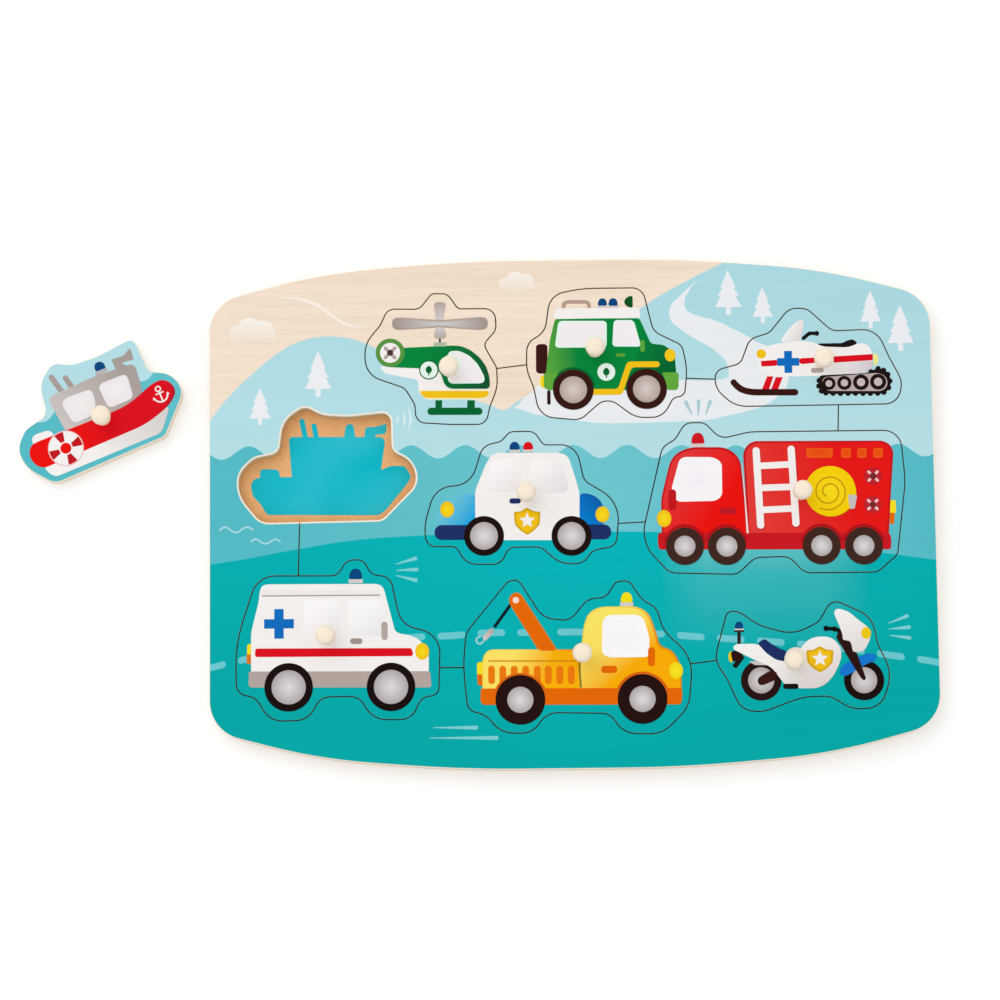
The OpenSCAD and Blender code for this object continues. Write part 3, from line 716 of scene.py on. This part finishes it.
for at in ((-13.9, -15.3), (16.5, -15.3)):
    wheel(art, at, 8.43, 5.67, "36150f", 6, ("b3a39b", "dccfc9"))
stroke(art, "-17.6,19.1 -17.3,21.2 -15.8,21.8 -8.2,21.7 -7,21.1 -6.8,19", 1.58, "b99c90", 1, 1.0)
for box in (((-3.4, 20), (0.8, 23.1)), ((1, 19.9), (5.3, 23.1))):
    dome(art, box, lamp_blue, 0.9)
patch(art, "11.3,24 10.1,24 8.5,23.2 7.6,21.6 8.4,19.9 10.1,19.1 11.3,19.1", "0c5220", 1, 0.9)

# The snowmobile: sawn from the plywood in one smooth outline round ski, track and windshield.
# Printed white with red stripes, a blue cross, a dark ski and a studded track.
art = vehicle("snowmobile")
patch(art, "-11.5,6.4 -7.9,11.7 -4.3,15.2 -2.2,15.9 -1.3,14.8 -2.2,9.5 -3,7",
      white, 1, 1.2, shadow_white, shade((-7.9, 11.7), (-1.7, 8.1)))
stroke(art, "-2.2,7.4 0.8,10 4.1,9.9", 1.54, "1a1412", 1, 0.6)
disc(art, (3.9, 9.9), 1.05, "1a1412", 1)
patch(art, "4.2,5.6 14.4,5.7 16.6,6.8 18.7,7.3 20.6,6 20,4.3 17.2,3.7 5.3,3.7", "1a1412", 1, 0.6)
patch(art, "-21.1,3.3 -17.9,4.5 -11.5,6 -3.8,7 2.5,6.2 6,4.3 17.2,3.8 21.5,5.8 25,5.1 26.8,2 "
      "26.9,-2.2 25.7,-5.8 21.1,-7.2 5,-8 -14,-8.2 -18.8,-6.3 -20.7,-3.5", white, 2, 2.4)
patch(art, "9,-2.6 26.8,-1.9 26.7,-5.1 24.3,-6.6 20.4,-7.3 6.4,-7.8",
      white, 3, 0.9, "d3cad0", shade((9.3, -4.2), (26.1, -6.5)))
patch(art, "-19.6,-1.5 -13.1,-1.1 -11.7,-2.2 -13.3,-3.6 -19.3,-3.8", red_deep, 3, 0.25)
patch(art, "-4.4,-1.7 -2.9,-0.5 3.1,-0.3 3.2,-2.5 -2.6,-3", red_deep, 3, 0.25)
patch(art, "10.7,0.1 27,0.9 26.9,-1.7 10.7,-2.5", red_deep, 4, 0.2)
cross(art, (-8.2, -2), 4.61, 3.21, blue, 4)
disc(art, (-19.3, 1.5), 1.96, yellow, 3)
bar(art, (2.2, -5.7), (5.4, -5.6), 2.16, grey, 3)
patch(art, "27.1,1.2 28.4,1.3 29.4,-0.8 28.6,-3.7 27.3,-3.8", "f4ec8c", 1, 0.5)
for corners in ("-17.1,-8 -14.5,-8 -16.4,-13.4 -19.3,-13.4",
                "-13.5,-8.4 -10.6,-8.4 -12.7,-13.5 -15.5,-13.4"):
    patch(art, corners, red_deep, 1, 0.15)
stroke(art, "-31,-10.4 -29.1,-12.6 -26.7,-13.9 -23.2,-14.6 -4.3,-14.8", 2.65, "38140f", 2, 1.6)
disc(art, (-31, -10.4), 1.33, "38140f", 2)
patch(art, "4.3,-7.8 24.7,-7.1 28.2,-5.1 31.4,-5.5 34.1,-8.4 34.3,-12.3 31.8,-15.8 7.6,-15.7 "
      "4.3,-13", "1c1210", 2, 1.8)
for at in spots("7.1,-15.2 10.1,-15.4 13.2,-15.5 16.3,-15.5 19.4,-15.5 22.5,-15.6 25.6,-15.6 "
                "28.6,-15.6 31.2,-15.2 33.2,-13.3 33.8,-10.5 33,-7.7 31.3,-6 29.1,-5.3 4.5,-10 "
                "4.3,-12.3 5.3,-14.4 26.1,-6.6"):
    disc(art, at, 1.12, "1c1210", 2)
patch(art, "6,-8.6 29.6,-7 32.7,-9 32.8,-12.8 30.4,-14.7 7.8,-14.4 5.6,-12.1", "c0adab", 3, 2.2)
for at, radius in (((8.5, -11.3), 2.72), ((14.9, -11.1), 2.93), ((21.8, -10.9), 3.28),
                   ((28.9, -10.8), 3.35)):
    disc(art, at, radius, "1c1210", 4)
    disc(art, at, 0.52 * radius, "cabcb8", 5)

# The boat: the same plywood, its edge sanded a little rounder, lifted out and lying on the
# table. Printed with a red hull on a white keel, a grey cabin, a lifebuoy and an anchor.
art = vehicle("boat")
for first, last in (((-12, 18.5), (-9.9, 9.7)), ((-6.7, 16), (-5.4, 9.4))):
    bar(art, first, last, 2.28, "a99d98", 1)
patch(art, "13.8,15.7 16.9,15.6 18.8,15.2 22.8,17.3 22.5,12.1 17.9,12.8 17.3,12.1 19.7,10.3 "
      "13.9,10.7", "a99d98", 1, 0.5)
patch(art, "5.7,13.5 6.3,16.4 7.8,17.2 10,16.4 10.4,14.6 10.4,13.4", lamp_blue, 2, 1.1)
patch(art, "5.5,13.6 10.6,13.5 10.6,11.8 5.3,11.7", "b8b4b7", 1, 0.2)
patch(art, "-16.7,10 -14.9,11.3 -4.5,11.6 4.6,11.9 20.9,10.7 21.9,8.9 20.8,-1.4 13.6,-6 -13.3,-5.1 "
      "-15.1,-4.4", "aba09b", 2, 1.6, "cdc5c2", shade((17, 8.8), (-14, -1.7)))
for window in ("-12.3,6.3 -10.1,8.2 0.6,7.6 1.4,6.2 0.9,0.7 -3,-3.1 -9.7,-3.1 -11,-2",
               "4.5,6.8 6,8.1 16.1,7.9 17.3,6.6 16.4,-1.7 14.8,-2.9 6.1,-2.9 4.9,-1.7"):
    patch(art, window, "eeeaed", 3, 1.7, white)
patch(art, "-29.1,-2.1 -27.4,-1.2 -21.7,-1.6 -20.4,-2.9 -20.1,-4.6 -21.5,-6.3 -29.6,-4.7",
      white, 2, 0.8)
patch(art, "-28.9,-15.7 -27.8,-18.6 -26.4,-20.4 -24.9,-21 20.4,-20.9 22.3,-19.9 26.6,-14.7 "
      "28.3,-12.2 26.3,-11.4 -17.6,-13.2",
      white, 2, 0.8, "d8d2cf", shade((-5.4, -21), (26.4, -16.2)))
patch(art, "-31.9,-6.6 -30.5,-4.9 -27.9,-4.4 -20.8,-4.5 -13.1,-4.6 4.7,-5 11.5,-4.7 17.2,-3.3 "
      "24,-0.8 27.3,-0.1 30.3,-0.4 32.6,-2.5 33.6,-5.5 32.9,-7.9 29.7,-10.8 24.7,-12.9 17.8,-14.7 "
      "13.4,-15.2 -10.8,-15.4 -21.7,-15.7 -28.4,-15.7 -30.7,-14.5 -32.3,-12 -32.7,-8.9",
      red, 4, 2.6, red_deep, shade((-16.7, -11), (9.8, -9.1)))
buoy = (-17.6, -11.5)
disc(art, buoy, 7.46, "f0b9b9", 5)
disc(art, buoy, 7.13, white, 6)
for angle in (5, 95, 185, 275):
    arc(art, buoy, 4.94, 4.09, angle - 17, angle + 17, red_dark, 7)
disc(art, buoy, 2.85, white, 8)
disc(art, buoy, 2.28, red, 9)
stroke(art, "32.1,-2.9 33,-5.7 32.4,-7.6 29.5,-10.2 25.1,-12.5",
       (0.1, 0.9, 1.1, 0.8, 0.1), "b3182a", 5, 0.8)
anchor = Vector((27, -6))
arc(art, (anchor.x, anchor.y + 2.7), 1.04, 0.55, 0, 360, white, 6)
bar(art, (anchor.x, anchor.y + 1.7), (anchor.x, anchor.y - 3), 0.65, white, 6)
bar(art, (anchor.x - 1.55, anchor.y + 0.8), (anchor.x + 1.55, anchor.y + 0.8), 0.6, white, 7)
arc(art, (anchor.x, anchor.y), 3, 0.65, 200, 340, white, 7)
for side in (-1, 1):
    tip = Vector((anchor.x + side * 3, anchor.y - 0.65))
    patch(art, (tip + Vector((-0.72, -0.4)), tip + Vector((0.72, -0.4)),
                tip + Vector((side * 0.13, 0.85))), white, 8, 0.05)

# The police car: sawn from the plywood at the middle of the board, with a peg glued in. Printed
# white with blue ends, two warning lamps on its roof and a yellow shield on its door.
art = vehicle("police_car")
patch(art, "-18.9,2.1 -25.8,1.4 -31.4,-1.9 -34.8,-6.4 -35.3,-11.1 -19,-11.3",
      "10a4e0", 1, 2.6, "6ec6da", shade((-19.8, -8.8), (-29.7, -0.8)))
patch(art, "24,1.6 27.9,1.4 31.7,-0.4 33.9,-3.8 34.2,-11.9 23.8,-11.8",
      blue_deep, 1, 2.0, "0080d2", shade((34.5, 0.7), (24.4, -9.3)))
bar(art, (-32.9, -14.2), (-23.2, -14.3), 6.2, navy, 2)
bar(art, (28.2, -14.6), (33.8, -14.7), 6.2, navy, 2)
patch(art, "-19.1,3 -14.1,15.2 -11.8,18.1 -9.3,18.8 16.5,18.5 19.5,17.1 21.9,9.8 24.1,1.6 23.7,-18 "
      "-19.1,-17.5", white, 3, 1.8)
patch(art, "-11.6,16.3 -0.7,16.5 -0.2,2.2 -16.1,2.4",
      "ece7e8", 4, 2.4, "fcf9f8", shade((-0.4, 2.2), (-8.5, 14)))
patch(art, "3.7,16.1 17,15.4 19.7,3.1 17.9,1.7 4.1,2",
      "e9e4e6", 4, 2.4, "fbf8f7", shade((17.9, 3.1), (8.1, 13.8)))
bar(art, (-3.9, -1.4), (-1.3, -1.4), 2.21, navy, 4)
star_shield(art, (2.3, -9.9), 5.53, 9.3, 4)
disc(art, (-30.7, -4.6), (2.88, 3.32), yellow, 2, lemon)
disc(art, (33.4, -7.4), (2.88, 3.32), yellow, 4, lemon)
for at in ((-15.6, -15.8), (20.5, -16.2)):
    wheel(art, at, 8.25, 5.76, "1c0d0b", 5)
dome(art, ((-4.9, 20), (-0.2, 23.3)), lamp_blue, 1.1)
dome(art, ((0.7, 20), (5.4, 23.2)), red_deep, 1.1)

# The fire engine: the biggest piece of plywood, sawn out in one cut round body and wheels.
# Printed red, with a white ladder, a yellow hose on its reel and four wheels.
art = vehicle("fire_engine")
patch(art, "47.4,-1.6 49.9,-1.6 50,-7 47.3,-6.9", lemon, 1, 0.5)
patch(art, "47.3,-6.8 49.4,-6.8 49,-11.6 47.2,-11.5", orange, 1, 0.5)
patch(art, "-47,-0.1 -43,15.6 -40.1,19.2 -34.7,21.4 -20.4,21.3 -16.2,18.9 -13.8,15.3 -12.9,3.8 "
      "-11.1,-18.1 -46.9,-17.7", red_dark, 2, 2.6)
patch(art, "-46.3,-0.2 -42.3,15.3 -39.6,18.5 -34.3,20.6 -20.8,20.4 -16.9,18.2 -14.5,14.9 -13.6,3.8 "
      "-11.8,-17.9 -46.2,-17.5", red, 3, 2.6, "e23838", shade((-22, -2), (-44, 13)))
patch(art, "-12.8,19.6 -9.3,23.7 46.3,23.3 49.6,19.8 47.8,-1.2 46.5,-18.8 -11.2,-18.1",
      red_dark, 2, 2.4)
patch(art, "-11.9,19.2 -8.8,22.9 45.8,22.6 48.8,19.3 47,-1.2 45.7,-18.5 -10.5,-17.9",
      "e81614", 3, 2.2, "e63c36", shade((28, 6), (-10, -7)))
stroke(art, "-13.3,14.6 -12.2,-2 -11.5,-14.7", (0.15, 0.55, 0.9), "fbdcd8", 4, 0.1)
patch(art, "-42.8,3.4 -39.2,16.2 -37.2,17.4 -25.1,17.2 -21.6,15 -21.7,1 -24.4,-1.1 -40.6,-1.3",
      "fdf9fa", 4, 1.8, "f8f2f9")
bar(art, (-42.3, 2.3), (-42.4, -3.1), 3.2, red_dark, 5)
bar(art, (-21.4, -5.3), (-17.6, -5.4), 2.85, "c01825", 4)
patch(art, "-47.5,-14.1 47.1,-15.2 47.7,-17.7 47.5,-22 -48.2,-21.1 -48.7,-17.3 -48.4,-14.5",
      "cb1820", 3, 1.0)
fire_wheels = spots("-37.5,-19.8 -20.2,-20 18.9,-20.2 36.3,-20.4")
for x, y in fire_wheels:
    arc(art, (x, y + 0.2), 8.4, 1, 12, 168, "b01018", 4)
for first, last in (((-7.1, 19.4), (-6.1, -11.7)), ((7.4, 20), (8.6, -11))):
    bar(art, first, last, 3.27, "c2202a", 4)
for first, last in (((-7.3, 19.6), (-6.1, -11.4)), ((7.2, 20.1), (8.5, -10.7))):
    bar(art, first, last, 2.99, white, 6)
for first, last in (((-5.6, 13.3), (6.7, 13.8)), ((-5.5, 4.1), (7.2, 4.4)),
                    ((-5.4, -5.1), (7.7, -4.6))):
    stroke(art, (first, last), 2.7, white, 5, 0)
disc(art, (23.3, 2.1), 10.6, "cf4418", 4)
disc(art, (23, 2.4), 10.53, "f8d000", 5, "fbdf1a")
stroke(art, "21.3,0.3 20.7,0.7 20.2,1.2 19.9,1.9 19.8,2.8 20,3.6 20.5,4.4 21.2,5 22.1,5.4 23.2,5.5 "
       "24.3,5.2 25.2,4.6 25.9,3.7 26.3,2.5 26.4,1.3 26,0 25.3,-1.1 24.2,-2 22.8,-2.5 21.3,-2.6 "
       "19.8,-2.1 18.6,-1.2 17.6,0.1 17.1,1.6 17.1,3.4 17.6,5 18.7,6.5 20.1,7.6 21.9,8.2 23.8,8.3 "
       "25.7,7.7 27.3,6.5 28.5,4.8 29.1,2.8 29.1,0.6 28.4,-1.4 27.1,-3.2 25.2,-4.5 23,-5.3 "
       "20.7,-5.3 18.4,-4.5", 0.55, "c8960c", 6, 0.1)
stroke(art, ((32.3, 3.3), (32.4, 0.4)), 2.56, "f8d000", 6, 0.1)
patch(art, "30.2,0.9 34.1,0.6 32.9,-5 30.9,-5.1", "c9bfc0", 7, 0.5)
for corners in ("13.4,20.5 24.5,20.4 24.4,16.3 13.3,16.4", "27.9,20.4 32,20.3 31.9,16.2 27.8,16.3",
                "34.6,20.3 38.5,20.3 38.4,16.2 34.5,16.2",
                "41.2,20.2 45.2,20.2 45.1,16.1 41.1,16.1"):
    patch(art, corners, "ef5a12", 4, 0.9, "ea4a0c")
for at in ((40.8, 8.5), (40.4, -3.4)):
    disc(art, at, 3.56, "c02430", 4)
    for angle in (45, 135, 225, 315):
        tip = Vector((cos(radians(angle)), sin(radians(angle))))
        bar(art, Vector(at) + tip * 1.2, Vector(at) + tip * 2.6, 1.1, "f8c6c4", 5)
    disc(art, at, 1.42, "7a2a2c", 6)
disc(art, (-45.9, -8.2), (2.99, 3.56), yellow, 5, lemon)
for at in fire_wheels:
    wheel(art, at, 7.83, 4.34, "40261f", 6)
dome(art, ((-34.3, 22.9), (-28.4, 27.4)), "d01420", 1.4)

# The ambulance: sawn from the plywood at the board's lower left, with a peg glued in. Printed
# as a white van with a red stripe, a blue cross and a grey sill.
art = vehicle("ambulance")
patch(art, "-37.5,-1.6 -36.6,-1.1 -35.5,-1.1 -35.5,-5.6 -37.6,-5.4", lemon, 1, 0.4)
patch(art, "-37.8,-5.4 -35.5,-5.5 -35.5,-9.4 -37.7,-9.3", "e07a1a", 1, 0.4)
patch(art, "-32.3,20.5 -31.4,22.8 -29.4,23.4 16,23.1 18.3,22.1 19.1,20 23.3,3.5 25,2.5 30.3,1.5 "
      "34.2,-0.8 37.1,-5.8 37,-16.1 -35.9,-15.3 -35.9,3.5 -32.7,16.3", white, 2, 2.2)
patch(art, "-36.8,-12.5 37.6,-13.2 38.1,-19.3 37.2,-19.9 -36.3,-19.1 -37,-18.1", grey, 2, 0.7)
patch(art, "-31.9,20.2 -29.8,20.9 16.3,20.4 17.8,18.4 -32.3,18.4", "f3ecea", 3, 0.4)
stroke(art, ((-31.2, 18.6), (17.3, 18.4)), 0.5, "a79c98", 4, 0)
patch(art, "-14.2,16.8 -0.7,16.8 0.8,15.2 0.7,3.8 -1.2,2.3 -14.3,2.4",
      "ede9ed", 3, 1.4, "fdfafa", shade((0.7, 2.2), (-7.1, 13.1)))
patch(art, "3.9,16.4 15.9,16.6 17.5,15 19.1,2.9 17.6,1.8 3.8,1.9",
      "ede9ed", 3, 1.4, "fdfafa", shade((18.3, 1.8), (9.9, 12.9)))
cross(art, (-24.4, 7), 6.12, 3.84, blue, 3)
bar(art, (19, 6.1), (19, 1.1), 2.56, grey, 4)
bar(art, (6, -0.5), (8.7, -0.5), 2.35, grey_dark, 4)
patch(art, "-34.2,-3.8 -33.7,-3.1 29.9,-3.6 30.7,-5.8 30.3,-6.9 -33.7,-6.6 -34.3,-6.1",
      red_deep, 3, 0.5)
disc(art, (34.4, -5), (2.85, 3.42), yellow, 4, lemon)
for at in ((-20.5, -19.2), (21.5, -19.5)):
    wheel(art, at, 9.96, 7.04, "170b0a", 4)
dome(art, ((4.3, 25.1), (10.2, 29.5)), lamp_blue, 1.6)

# The tow truck: sawn from the plywood at the foot of the board, with a peg glued in. Printed
# yellow and orange, with a crane arm whose hook hangs behind the bed.
art = vehicle("tow_truck")
stroke(art, ((-27, 22.2), (-34, 12.7)), 1.34, "0a2028", 1, 0.2)
arc(art, (-40, 7.4), 1.42, 0.71, 70, 350, "a8d4da", 1)
patch(art, "-34.2,12.4 -35.8,12.2 -39,8.7 -38,6.8 -34.5,10.1",
      grey_pale, 2, 0.6, grey, shade((-38.6, 7.4), (-34.6, 12)))
patch(art, "-41.2,-1.7 -38.6,-1.5 -38.6,-6.8 -41.3,-6.8", lemon, 1, 0.6)
patch(art, "-41.3,-6.6 -38.6,-6.7 -38.7,-11.4 -41,-11.1", orange, 1, 0.6)
patch(art, "-24.8,27.3 -22.7,26.2 -21.5,24.2 -7.2,1.5 -15,1.4 -27.8,22.6 -27.8,25.4",
      "e07408", 1, 1.6)
patch(art, "-24.8,26.6 -23.1,25.8 -22.1,23.9 -8.3,1.5 -14.2,1.4 -27.3,22.6 -27.2,25",
      orange, 2, 1.5)
disc(art, (-25, 23.8), 1.34, "fbdcc8", 3)
patch(art, "-39,-0.5 -37.9,2.2 -35.7,3.6 1.8,3.2 1.5,-16.3 -39.2,-15.9",
      "ee9a10", 1, 2.0, "f6dc58", shade((-8, -4), (-22, 1)))
patch(art, "-38.5,-0.9 -37.4,1.8 -35.5,3.1 1.3,2.6 1,-16.1 -38.6,-15.6",
      "fcb204", 3, 1.9, "ffe566", shade((-12.5, -5.5), (-27, 1)))
stroke(art, ((-36.5, -1.2), (0.2, -1.6)), 0.55, "d08a10", 4, 0)
for x, y in spots("-35.3,-6.9 -30.7,-7 -26,-7.1 -21.3,-7.1 -16.5,-7.2 -12,-7.2 -7.3,-7.3 "
                  "-2.6,-7.3"):
    bar(art, (x, y + 2.4), (x, y - 2.4), 2.77, "ef7c08", 4)
patch(art, "1.9,6.1 2.8,13.2 4.8,18.3 9.4,20.7 24.7,20.8 29.6,18 32.4,10.5 34,4 38.5,2.9 41.4,-1 "
      "42.6,-6.2 42.7,-16.8 0.8,-16.3", "e68c08", 3, 2.4, "f8de58", shade((31, 2), (14, 9)))
patch(art, "2.4,5.9 3.5,12.8 5.4,17.6 9.7,20 24.3,20.1 28.9,17.4 31.6,10.2 33.2,3.4 38,2.3 "
      "40.6,-1.4 41.8,-6.2 42,-16.5 1.4,-16.1",
      "fcae00", 4, 2.3, "ffe866", shade((19, -6.5), (9, 5.5)))
patch(art, "10.6,15.3 12.9,17.3 25.2,17.2 27.6,15.5 29.8,7.4 29.3,-0.3 12.8,-0.3 10,1.4",
      "fefcfc", 5, 1.6, "fcf8fa")
bar(art, (30.5, 2.3), (30.4, -2.7), 2.85, orange, 6)
bar(art, (11.2, -5.2), (14.8, -5.2), 3, orange, 5)
patch(art, "-39.8,-12.5 42.3,-13.1 42.9,-14.8 42.5,-19.1 41.5,-19.9 -38.9,-19.2 -40,-17.8",
      orange, 4, 0.6)
for at in ((-23.6, -17.6), (26.5, -17.6)):
    arc(art, at, 10.75, 1.26, 12, 168, "dc6610", 5)
patch(art, "0.4,-2.1 1,-2.2 1.7,-12.4 0.9,-12.6", "8a7a2a", 5, 0)
disc(art, (40.4, -6), (2.85, 3.56), "f7d50a", 6, "fff02a")
for at in ((-23.6, -17.3), (26.5, -17.5)):
    wheel(art, at, 10.2, 5.38, "230e0c", 7)
dome(art, ((17.9, 22.4), (23.3, 26.5)), "f7e30c", 1.6)

# The motorcycle: the smallest piece of plywood, sawn round both wheels and the windshield.
# Printed white with a blue mudguard, a warning lamp on a mast and a star on its tank.
art = vehicle("motorcycle")
wheel(art, (-17.1, -9.9), 8.33, 5.38, "26100e", 1)
wheel(art, (25.1, -10.3), 8.27, 5.38, "1a0c0a", 1)
stroke(art, ((-25.8, 10.2), (-25.9, 5)), 1.41, "2a1a18", 1, 0)
dome(art, ((-27.7, 11.5), (-23.8, 14.4)), lamp_blue, 0.9)
stroke(art, ((-27.8, 10.5), (-23.7, 10.5)), 0.81, "3a2a28", 2, 0)
disc(art, (-29.3, -0.1), (1.08, 2.28), "e8c81c", 1)
patch(art, "-29.4,1.8 -27.7,2.5 -24.1,1.1 -26.1,-1.6 -28.7,-2.1", "2a0f0c", 2, 0.5)
stroke(art, ((-24.4, 0.3), (-28.1, -4.4)), 2.02, "1c1210", 1, 0.4)
patch(art, "-22.1,-2.1 -16.8,-1.7 -14.2,-3.7 -19.5,-3.6", "cfc6c6", 3, 0.3)
patch(art, "15.2,-6 16.6,-3.7 20.6,-2.1 24.7,0 27.4,0.9 30.3,0.1 30.5,-2.1 25.9,-3.8 17.8,-8.6 "
      "15.1,-8", "1577cf", 3, 1.2)
patch(art, "-28.8,3.3 -27.3,5.2 -18.3,5.2 -11.4,1 -6.8,-2.1 -0.7,2.8 2.1,6.5 6.8,8.1 12.1,7.5 "
      "15.1,4.7 16.3,0.6 15.2,-3.4 12.4,-8.7 9,-12 5.6,-13.4 -1,-13.4 -7,-12.3 -9.9,-8.4 "
      "-12.8,-4.4 -19.5,-1.5 -24.1,0.8", white, 4, 2.2, "dcd2ce", shade((-2.7, 0.9), (6.9, -16)))
patch(art, "-18.3,5.4 -15.3,7.3 -12.6,5 -8.7,2.8 -6.5,2.2 -6.9,-2.3 -10.8,-1.5 -14.7,1.2",
      navy, 5, 1.0)
disc(art, (-2.7, -1), 4.57, "f2e6da", 5)
star_shield(art, (7.2, -1.5), 5.64, 8.87, 5)
patch(art, "13.3,17.7 14.2,19.2 15.8,19.2 19.5,18 23.8,14.2 27.2,11.7 28.4,9.3 28,6.8 27,4.3 "
      "25.6,2.1 23.8,1.4 20.7,1.3 18.8,4.6 16.5,6.3 15.9,11.4 14.6,14.3",
      white, 5, 1.4, "e4dcda", shade((17.7, 15.4), (24.7, 0.5)))
disc(art, (26.4, 9.1), (2.02, 2.42), "f0cb14", 6)
stroke(art, "9.8,11.2 13.6,10.9 15.4,10.3 16.2,7.3", 1.48, "120c0c", 6, 0.6)
for at in ((10, 11.2), (13.5, 10.9)):
    disc(art, at, 1.08, "120c0c", 7)
patch(art, "14.6,8.9 15.4,10 16.4,9.9 16.8,6.5 19.7,5.8 20.2,4.6 20.8,1.5 22.3,1.2 23.5,-2.5 "
      "25.9,-9.5 25.1,-10.6 23.9,-9.4 20.2,-3.3 14.1,7.4", "2a1210", 7, 0.4)
patch(art, "-18.4,-9.1 -17.6,-8.4 -13.4,-5.9 -10.5,-6.6 -10.9,-9.6 -15.8,-11.7 -17.3,-12 -18.6,-11",
      "3a1612", 5, 0.8)
bar(art, (-7.1, -12.5), (-2.9, -12.5), 2.15, "15100f", 5)

# The shapes at the bottom of the openings: one blue-green ink on the fibreboard, printed before
# the face is glued on. Each is its vehicle's figure in a single tint, to show where it goes.
under_boat = new_print()
for first, last in (((-10.8, 19), (-9.1, 10.8)), ((-5.8, 17), (-4.6, 10.7))):
    bar(under_boat, first, last, 2.2, navy)
for corners in ("-16.3,11.9 -15,12.5 22.3,12.1 23.8,10.5 22,-1.6 21.9,-5.1 -15.1,-4.7",
                "6.6,11 7.3,16.6 8.5,17.8 10.5,17.5 11.6,10.9",
                "15.1,10.9 15.5,16.2 19.9,16.4 24.5,17.8 24.1,13.3 19.3,13.1 20.1,10.9",
                "22.5,-1.7 25.8,-0.1 31.8,-0.2 34.5,-4.5 33,-7.5 23.6,-18.9 20.9,-20.7 -25.4,-20.1 "
                "-28.3,-15.3 -31.3,-12.2 -32.2,-7.3 -30.7,-4.9 -28.3,-4.4 -15.1,-4.3",
                "-28.3,-5.4 -28.3,-1.5 -27.1,-0.8 -20.5,-1.2 -19.7,-5.5"):
    patch(under_boat, corners, navy, 1, 1.2)
floor_print = new_print()
floor_mesh = bpy.data.meshes.new("floor_shapes")
for name, art in pictures.items():
    loose = name == "boat"
    middle, height, turn = (
        (boat_lies, face_top - base_top, boat_turn) if loose else (vehicles[name], face_top, 0))
    shown(art, name + "_print", name, middle, height, turn)
    (under_boat if loose else art).to_mesh(floor_mesh)
    floor_mesh.transform(Matrix.Translation((*vehicles[name], base_top)))
    floor_print.from_mesh(floor_mesh)
    art.free()
bpy.data.meshes.remove(floor_mesh)

floor_ink, start, shader = finish("blue-green ink on fibreboard")
place = millimetres(start)
fibres = noise(place, (0.7, 0.5, 0.3), 4)
wash = noise(place, (30, 24, 10), 2)
colour = (fibres * 0.25 + wash * 0.75).within(0.35, 0.65).tinted("00b8c8", "30c1d3")
cover(shader, colour, fibres * 0.2 + 0.45, 0.04, fibres, 0.2, 0.04)
shown(floor_print, "base_print", "board", (0, 0), 0, inks=floor_ink)

# The pegs: turned from a pale hardwood with a waist for the fingers, sanded and left bare. Each
# is glued into its vehicle by a tenon.
peg_tall = 11
peg_wood, start, shader = finish("turned peg wood")
place = millimetres(start)
figure = noise(place, (1.1, 0.5, 9), 1)
lathe_lines = noise(place, (30, 30, 0.22), 2)
colour = (figure * 0.75 + lathe_lines * 0.25).within(0.2, 0.8).tinted("fae8cf", "fdf1de")
cover(shader, colour, lathe_lines * 0.2 + 0.45, 0.15, lathe_lines, 0.05, 0.02)
# Half of the section, as radius and height above the face
peg_section = spots("0,-4.2 2.3,-4.2 2.5,-4.0 2.5,0 3.0,0 3.2,0.2 3.17,0.55 2.95,1.1 2.76,1.8 "
                    "2.7,2.6 2.76,3.3 2.98,4.2 3.35,5.2 3.72,5.9 3.92,6.5 4.0,7.2 4.0,8.2 3.93,8.9 "
                    "3.7,9.6 3.3,10.15 2.75,10.55 2.0,10.83 1.1,10.97 0,11.0")
turned = bmesh.new()
section = [turned.verts.new((r, 0, z)) for r, z in peg_section]
rib = [turned.edges.new(pair) for pair in zip(section, section[1:])]
bmesh.ops.spin(turned, geom=section + rib, cent=(0, 0, 0), axis=(0, 0, 1), angle=2 * pi,
               steps=48, use_merge=True)
bmesh.ops.remove_doubles(turned, verts=turned.verts, dist=0.001)
bmesh.ops.recalc_face_normals(turned, faces=turned.faces)
for face in turned.faces:
    face.smooth = True
for edge in turned.edges:
    edge.smooth = edge.calc_face_angle(0) < radians(40)
for name in vehicles:
    low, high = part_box(name + "_peg")
    foot = Vector(((low.x + high.x) / 2, (low.y + high.y) / 2, high.z - peg_tall / 1000))
    piece(name + "_peg_turned", turned, [peg_wood], name,
          Matrix.Translation(foot) @ Matrix.Scale(0.001, 4), name + "_peg")
turned.free()

# The table and the light: a plain white sheet, a big soft lamp at the upper left and an even
# white surround.
sheet_finish, start, shader = finish("white table")
seen = start.node("LightPath", out="Is Camera Ray")
mottle = noise(millimetres(start), (40, 40, 40), 2)
join(mottle.tinted("f1f1f1", "f4f4f4"), shader, "Base Color")
shader.inputs["Roughness"].default_value = 0.9
shader.inputs["Specular IOR Level"].default_value = 0.0
join(seen.tinted((0, 0, 0, 1), (1, 1, 1, 1)), shader, "Emission Color")
shader.inputs["Emission Strength"].default_value = 0.18
table = bmesh.new()
bmesh.ops.create_grid(table, x_segments=4, y_segments=4, size=4)
built("table", table, [sheet_finish])
table.free()

world = bpy.data.worlds.new("surround")
bpy.context.scene.world = world
world.use_nodes = True
surround = world.node_tree.nodes["Background"]
surround.inputs["Color"].default_value = (1, 1, 1, 1)
start = Wire(world.node_tree)
join(start.node("LightPath", out="Is Camera Ray") * 0.17 + 0.83, surround, "Strength")

light = bpy.data.lights.new("lamp", "AREA")
light.size = 1.8
light.energy = 10
lamp = bpy.data.objects.new("lamp", light)
spot = Vector((-0.9, 0.9, 1.7))
aim = (view_at - spot).to_track_quat("-Z", "Y").to_matrix().to_4x4()
lamp.matrix_world = Matrix.Translation(spot) @ aim
bpy.context.scene.collection.objects.link(lamp)
